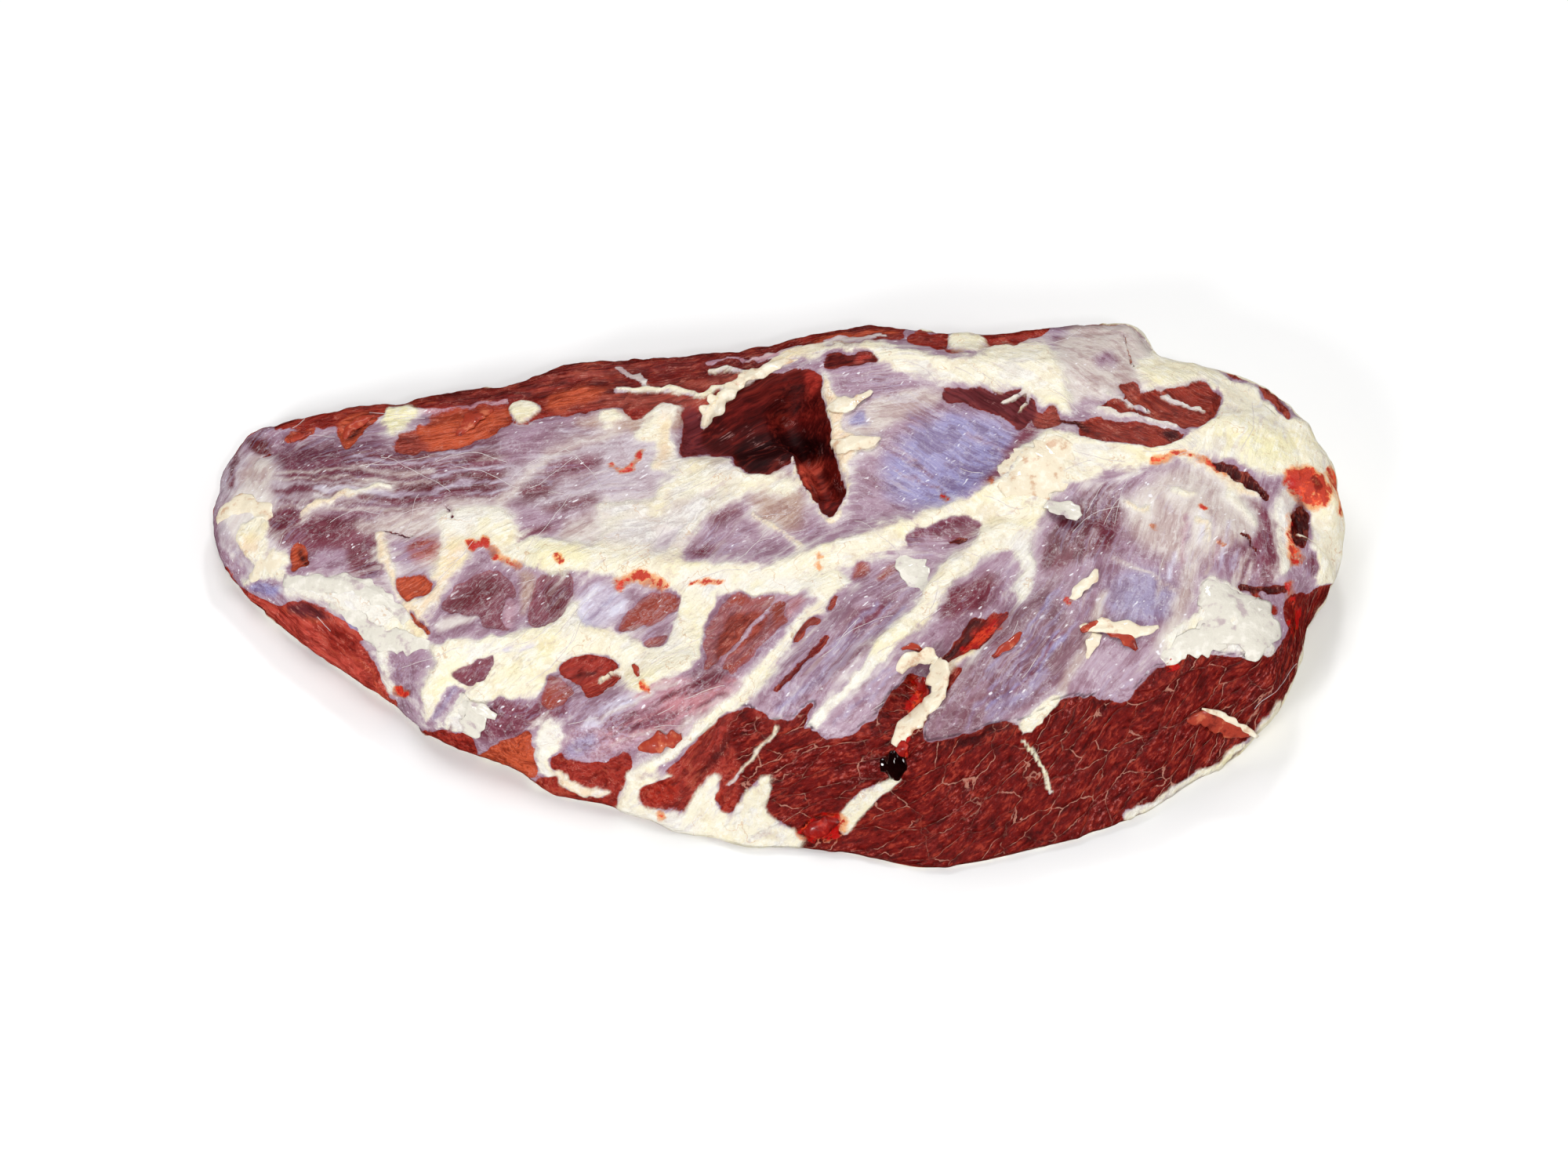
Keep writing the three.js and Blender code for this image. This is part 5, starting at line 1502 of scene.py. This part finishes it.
# Filaments: hair-thin threads of skin that stayed on the slab's face when the ribs were pulled off it.
# Geometry Nodes turn seeded lines that follow the strands into thin closed threads.
THREAD_COUNT = 90
THREAD_SEED = 7
THREAD_HALF = 0.00016
THREAD_STEP = 5
LOWEST_THREAD = 25
MOST_BARE = 0.35
GRID_COUNT = (SQUARES_ALONG + 1) * (SQUARES_ACROSS + 1)


def thread_lines():
    """Lines over the silverskin that follow the strands, as vertices and edges."""
    chance = np.random.default_rng(THREAD_SEED)
    points, edges = [], []
    made = 0
    while made < THREAD_COUNT:
        at = np.array([chance.uniform(300, 1690), chance.uniform(440, 930)])
        turn = chance.normal(0, 12)
        steps = int(chance.uniform(6, 22))
        line = []
        for _ in range(steps):
            hit = on_slab(at)
            if hit is None:
                break
            place, normal = hit
            nearest = np.argmin(((pixels[:GRID_COUNT] - at) ** 2).sum(1))
            if layers["bare"][nearest] > MOST_BARE or place[2] < LOWEST_THREAD:
                break
            line.append(place + normal * 0.05)
            direction = math.radians(grain_angle(at[None])[0] + turn)
            at = at + THREAD_STEP * np.array([math.cos(direction), -math.sin(direction)])
            turn += chance.normal(0, 6)
        if len(line) > 4:
            edges += [(len(points) + k, len(points) + k + 1) for k in range(len(line) - 1)]
            points += line
            made += 1
    return points, edges


def thread_tree(finish):
    """Geometry Nodes that sweep a round thread along each line, thinner towards its ends."""
    tree = bpy.data.node_groups.new("filaments", "GeometryNodeTree")
    for name, way, kind in (("Geometry", "INPUT", "Geometry"), ("Half thickness", "INPUT", "Float"),
                            ("Seed", "INPUT", "Int"), ("Geometry", "OUTPUT", "Geometry")):
        tree.interface.new_socket(name, in_out=way, socket_type="NodeSocket" + kind)

    def node(kind, settings, sockets):
        made = tree.nodes.new(kind)
        for name, value in settings.items():
            setattr(made, name, value)
        for name, value in sockets.items():
            if isinstance(value, bpy.types.NodeSocket):
                tree.links.new(value, made.inputs[name])
            else:
                made.inputs[name].default_value = value
        return made.outputs

    given = node("NodeGroupInput", {}, {})
    along = node("GeometryNodeSplineParameter", {}, {})["Factor"]
    half_turn = node("ShaderNodeMath", {"operation": "MULTIPLY"}, {0: along, 1: math.pi})[0]
    taper = node("ShaderNodeMath", {"operation": "SINE"}, {0: half_turn})[0]
    size = node("FunctionNodeRandomValue", {}, {2: 0.6, 3: 1.3, "Seed": given["Seed"]})[1]
    swell = node("ShaderNodeMath", {"operation": "MULTIPLY"}, {0: taper, 1: size})[0]
    line = node("GeometryNodeMeshToCurve", {}, {"Mesh": given["Geometry"]})["Curve"]
    line = node("GeometryNodeSetCurveRadius", {}, {"Curve": line, "Radius": swell})["Curve"]
    circle = node("GeometryNodeCurvePrimitiveCircle", {},
                  {"Resolution": 5, "Radius": given["Half thickness"]})["Curve"]
    skin = node("GeometryNodeCurveToMesh", {},
                {"Curve": line, "Profile Curve": circle, "Fill Caps": True})["Mesh"]
    skin = node("GeometryNodeRealizeInstances", {}, {"Geometry": skin})["Geometry"]
    skin = node("GeometryNodeSetMaterial", {}, {"Geometry": skin, "Material": finish})["Geometry"]
    node("NodeGroupOutput", {}, {"Geometry": skin})
    return tree


points, edges = thread_lines()
threads = mesh_object("filaments", points, [], edges)
modifier = threads.modifiers.new("filaments", "NODES")
modifier.node_group = thread_tree(tissue_finish(
    "skin_thread", (0.86, 0.82, 0.82), (0.78, 0.70, 0.72), (0.94, 0.92, 0.90), 0.4))
GIVEN = {"Half thickness": THREAD_HALF, "Seed": THREAD_SEED}
for socket in modifier.node_group.interface.items_tree:
    if socket.in_out == "INPUT" and socket.name in GIVEN:
        modifier[socket.identifier] = GIVEN[socket.name]
bpy.context.view_layer.update()
swept = bpy.data.meshes.new_from_object(threads.evaluated_get(bpy.context.evaluated_depsgraph_get()))
threads.modifiers.clear()
threads.data = swept
shade_smooth(swept)
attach(threads, "root")


# The table that the slab lies on: a plain pale sheet of board, painted matt. It isn't part of the meat, so it
# only stages the picture, and it lies a hair below the slab's foot.
FLOOR_HALF = 6.0
FLOOR_DROP = 0.0004
floor_corners = [(x * FLOOR_HALF, y * FLOOR_HALF, -FLOOR_DROP)
                 for x, y in ((-1, -1), (1, -1), (1, 1), (-1, 1))]
floor_mesh = bpy.data.meshes.new("floor")
floor_mesh.from_pydata(floor_corners, [], [(0, 1, 2, 3)])
floor = bpy.data.objects.new("floor", floor_mesh)
bpy.context.scene.collection.objects.link(floor)
floor_mesh.materials.append(Finish("pale_sheet").close(
    {"Base Color": (0.97, 0.97, 0.97, 1), "Roughness": 0.9, "Specular IOR Level": 0.1}))
floor.visible_glossy = False


# The photographer's light: a bright white room, a large soft box overhead and behind, one at the front left
# and one at the right, and two small lamps whose reflections glint on the wet meat.
AIM = (0, 0, 0.03)


def soft_box(name, place, size, watts):
    light = bpy.data.lights.new(name, "AREA")
    light.shape = "RECTANGLE"
    light.size, light.size_y = size
    light.energy = watts
    box = bpy.data.objects.new(name, light)
    box.location = place
    box.rotation_euler = (Vector(AIM) - Vector(place)).to_track_quat("-Z", "Y").to_euler()
    bpy.context.scene.collection.objects.link(box)


soft_box("overhead_box", (-0.4, 0.7, 1.5), (0.8, 0.6), 8.5)
soft_box("front_left_box", (-0.9, -1.6, 1.0), (0.5, 0.5), 21.5)
soft_box("right_box", (1.5, -0.5, 0.9), (0.5, 0.7), 9.5)
soft_box("back_glint", (0.25, 1.5, 1.75), (0.3, 0.2), 10)
soft_box("front_glint", (0.3, -1.5, 1.7), (0.12, 0.12), 7)
world = bpy.data.worlds.new("white_room")
world.use_nodes = True
white_room = world.node_tree.nodes["Background"]
white_room.inputs["Color"].default_value = (1, 1, 1, 1)
white_room.inputs["Strength"].default_value = 0.315
world.cycles_visibility.glossy = False
bpy.context.scene.world = world


# The camera: a 70 mm lens that looks along the slab's y axis, down at 52 degrees, from where the photograph
# was taken. Its colours are shown as they are, without a film look.
camera = bpy.data.objects.new("camera", bpy.data.cameras.new("camera"))
camera.data.lens = LENS
camera.data.sensor_width = SENSOR
camera.location = (eye - [*middle, 0]) * MM
camera.rotation_euler = (math.pi / 2 - ELEVATION, 0, 0)
bpy.context.scene.collection.objects.link(camera)
bpy.context.scene.camera = camera
bpy.context.scene.view_settings.view_transform = "Standard"
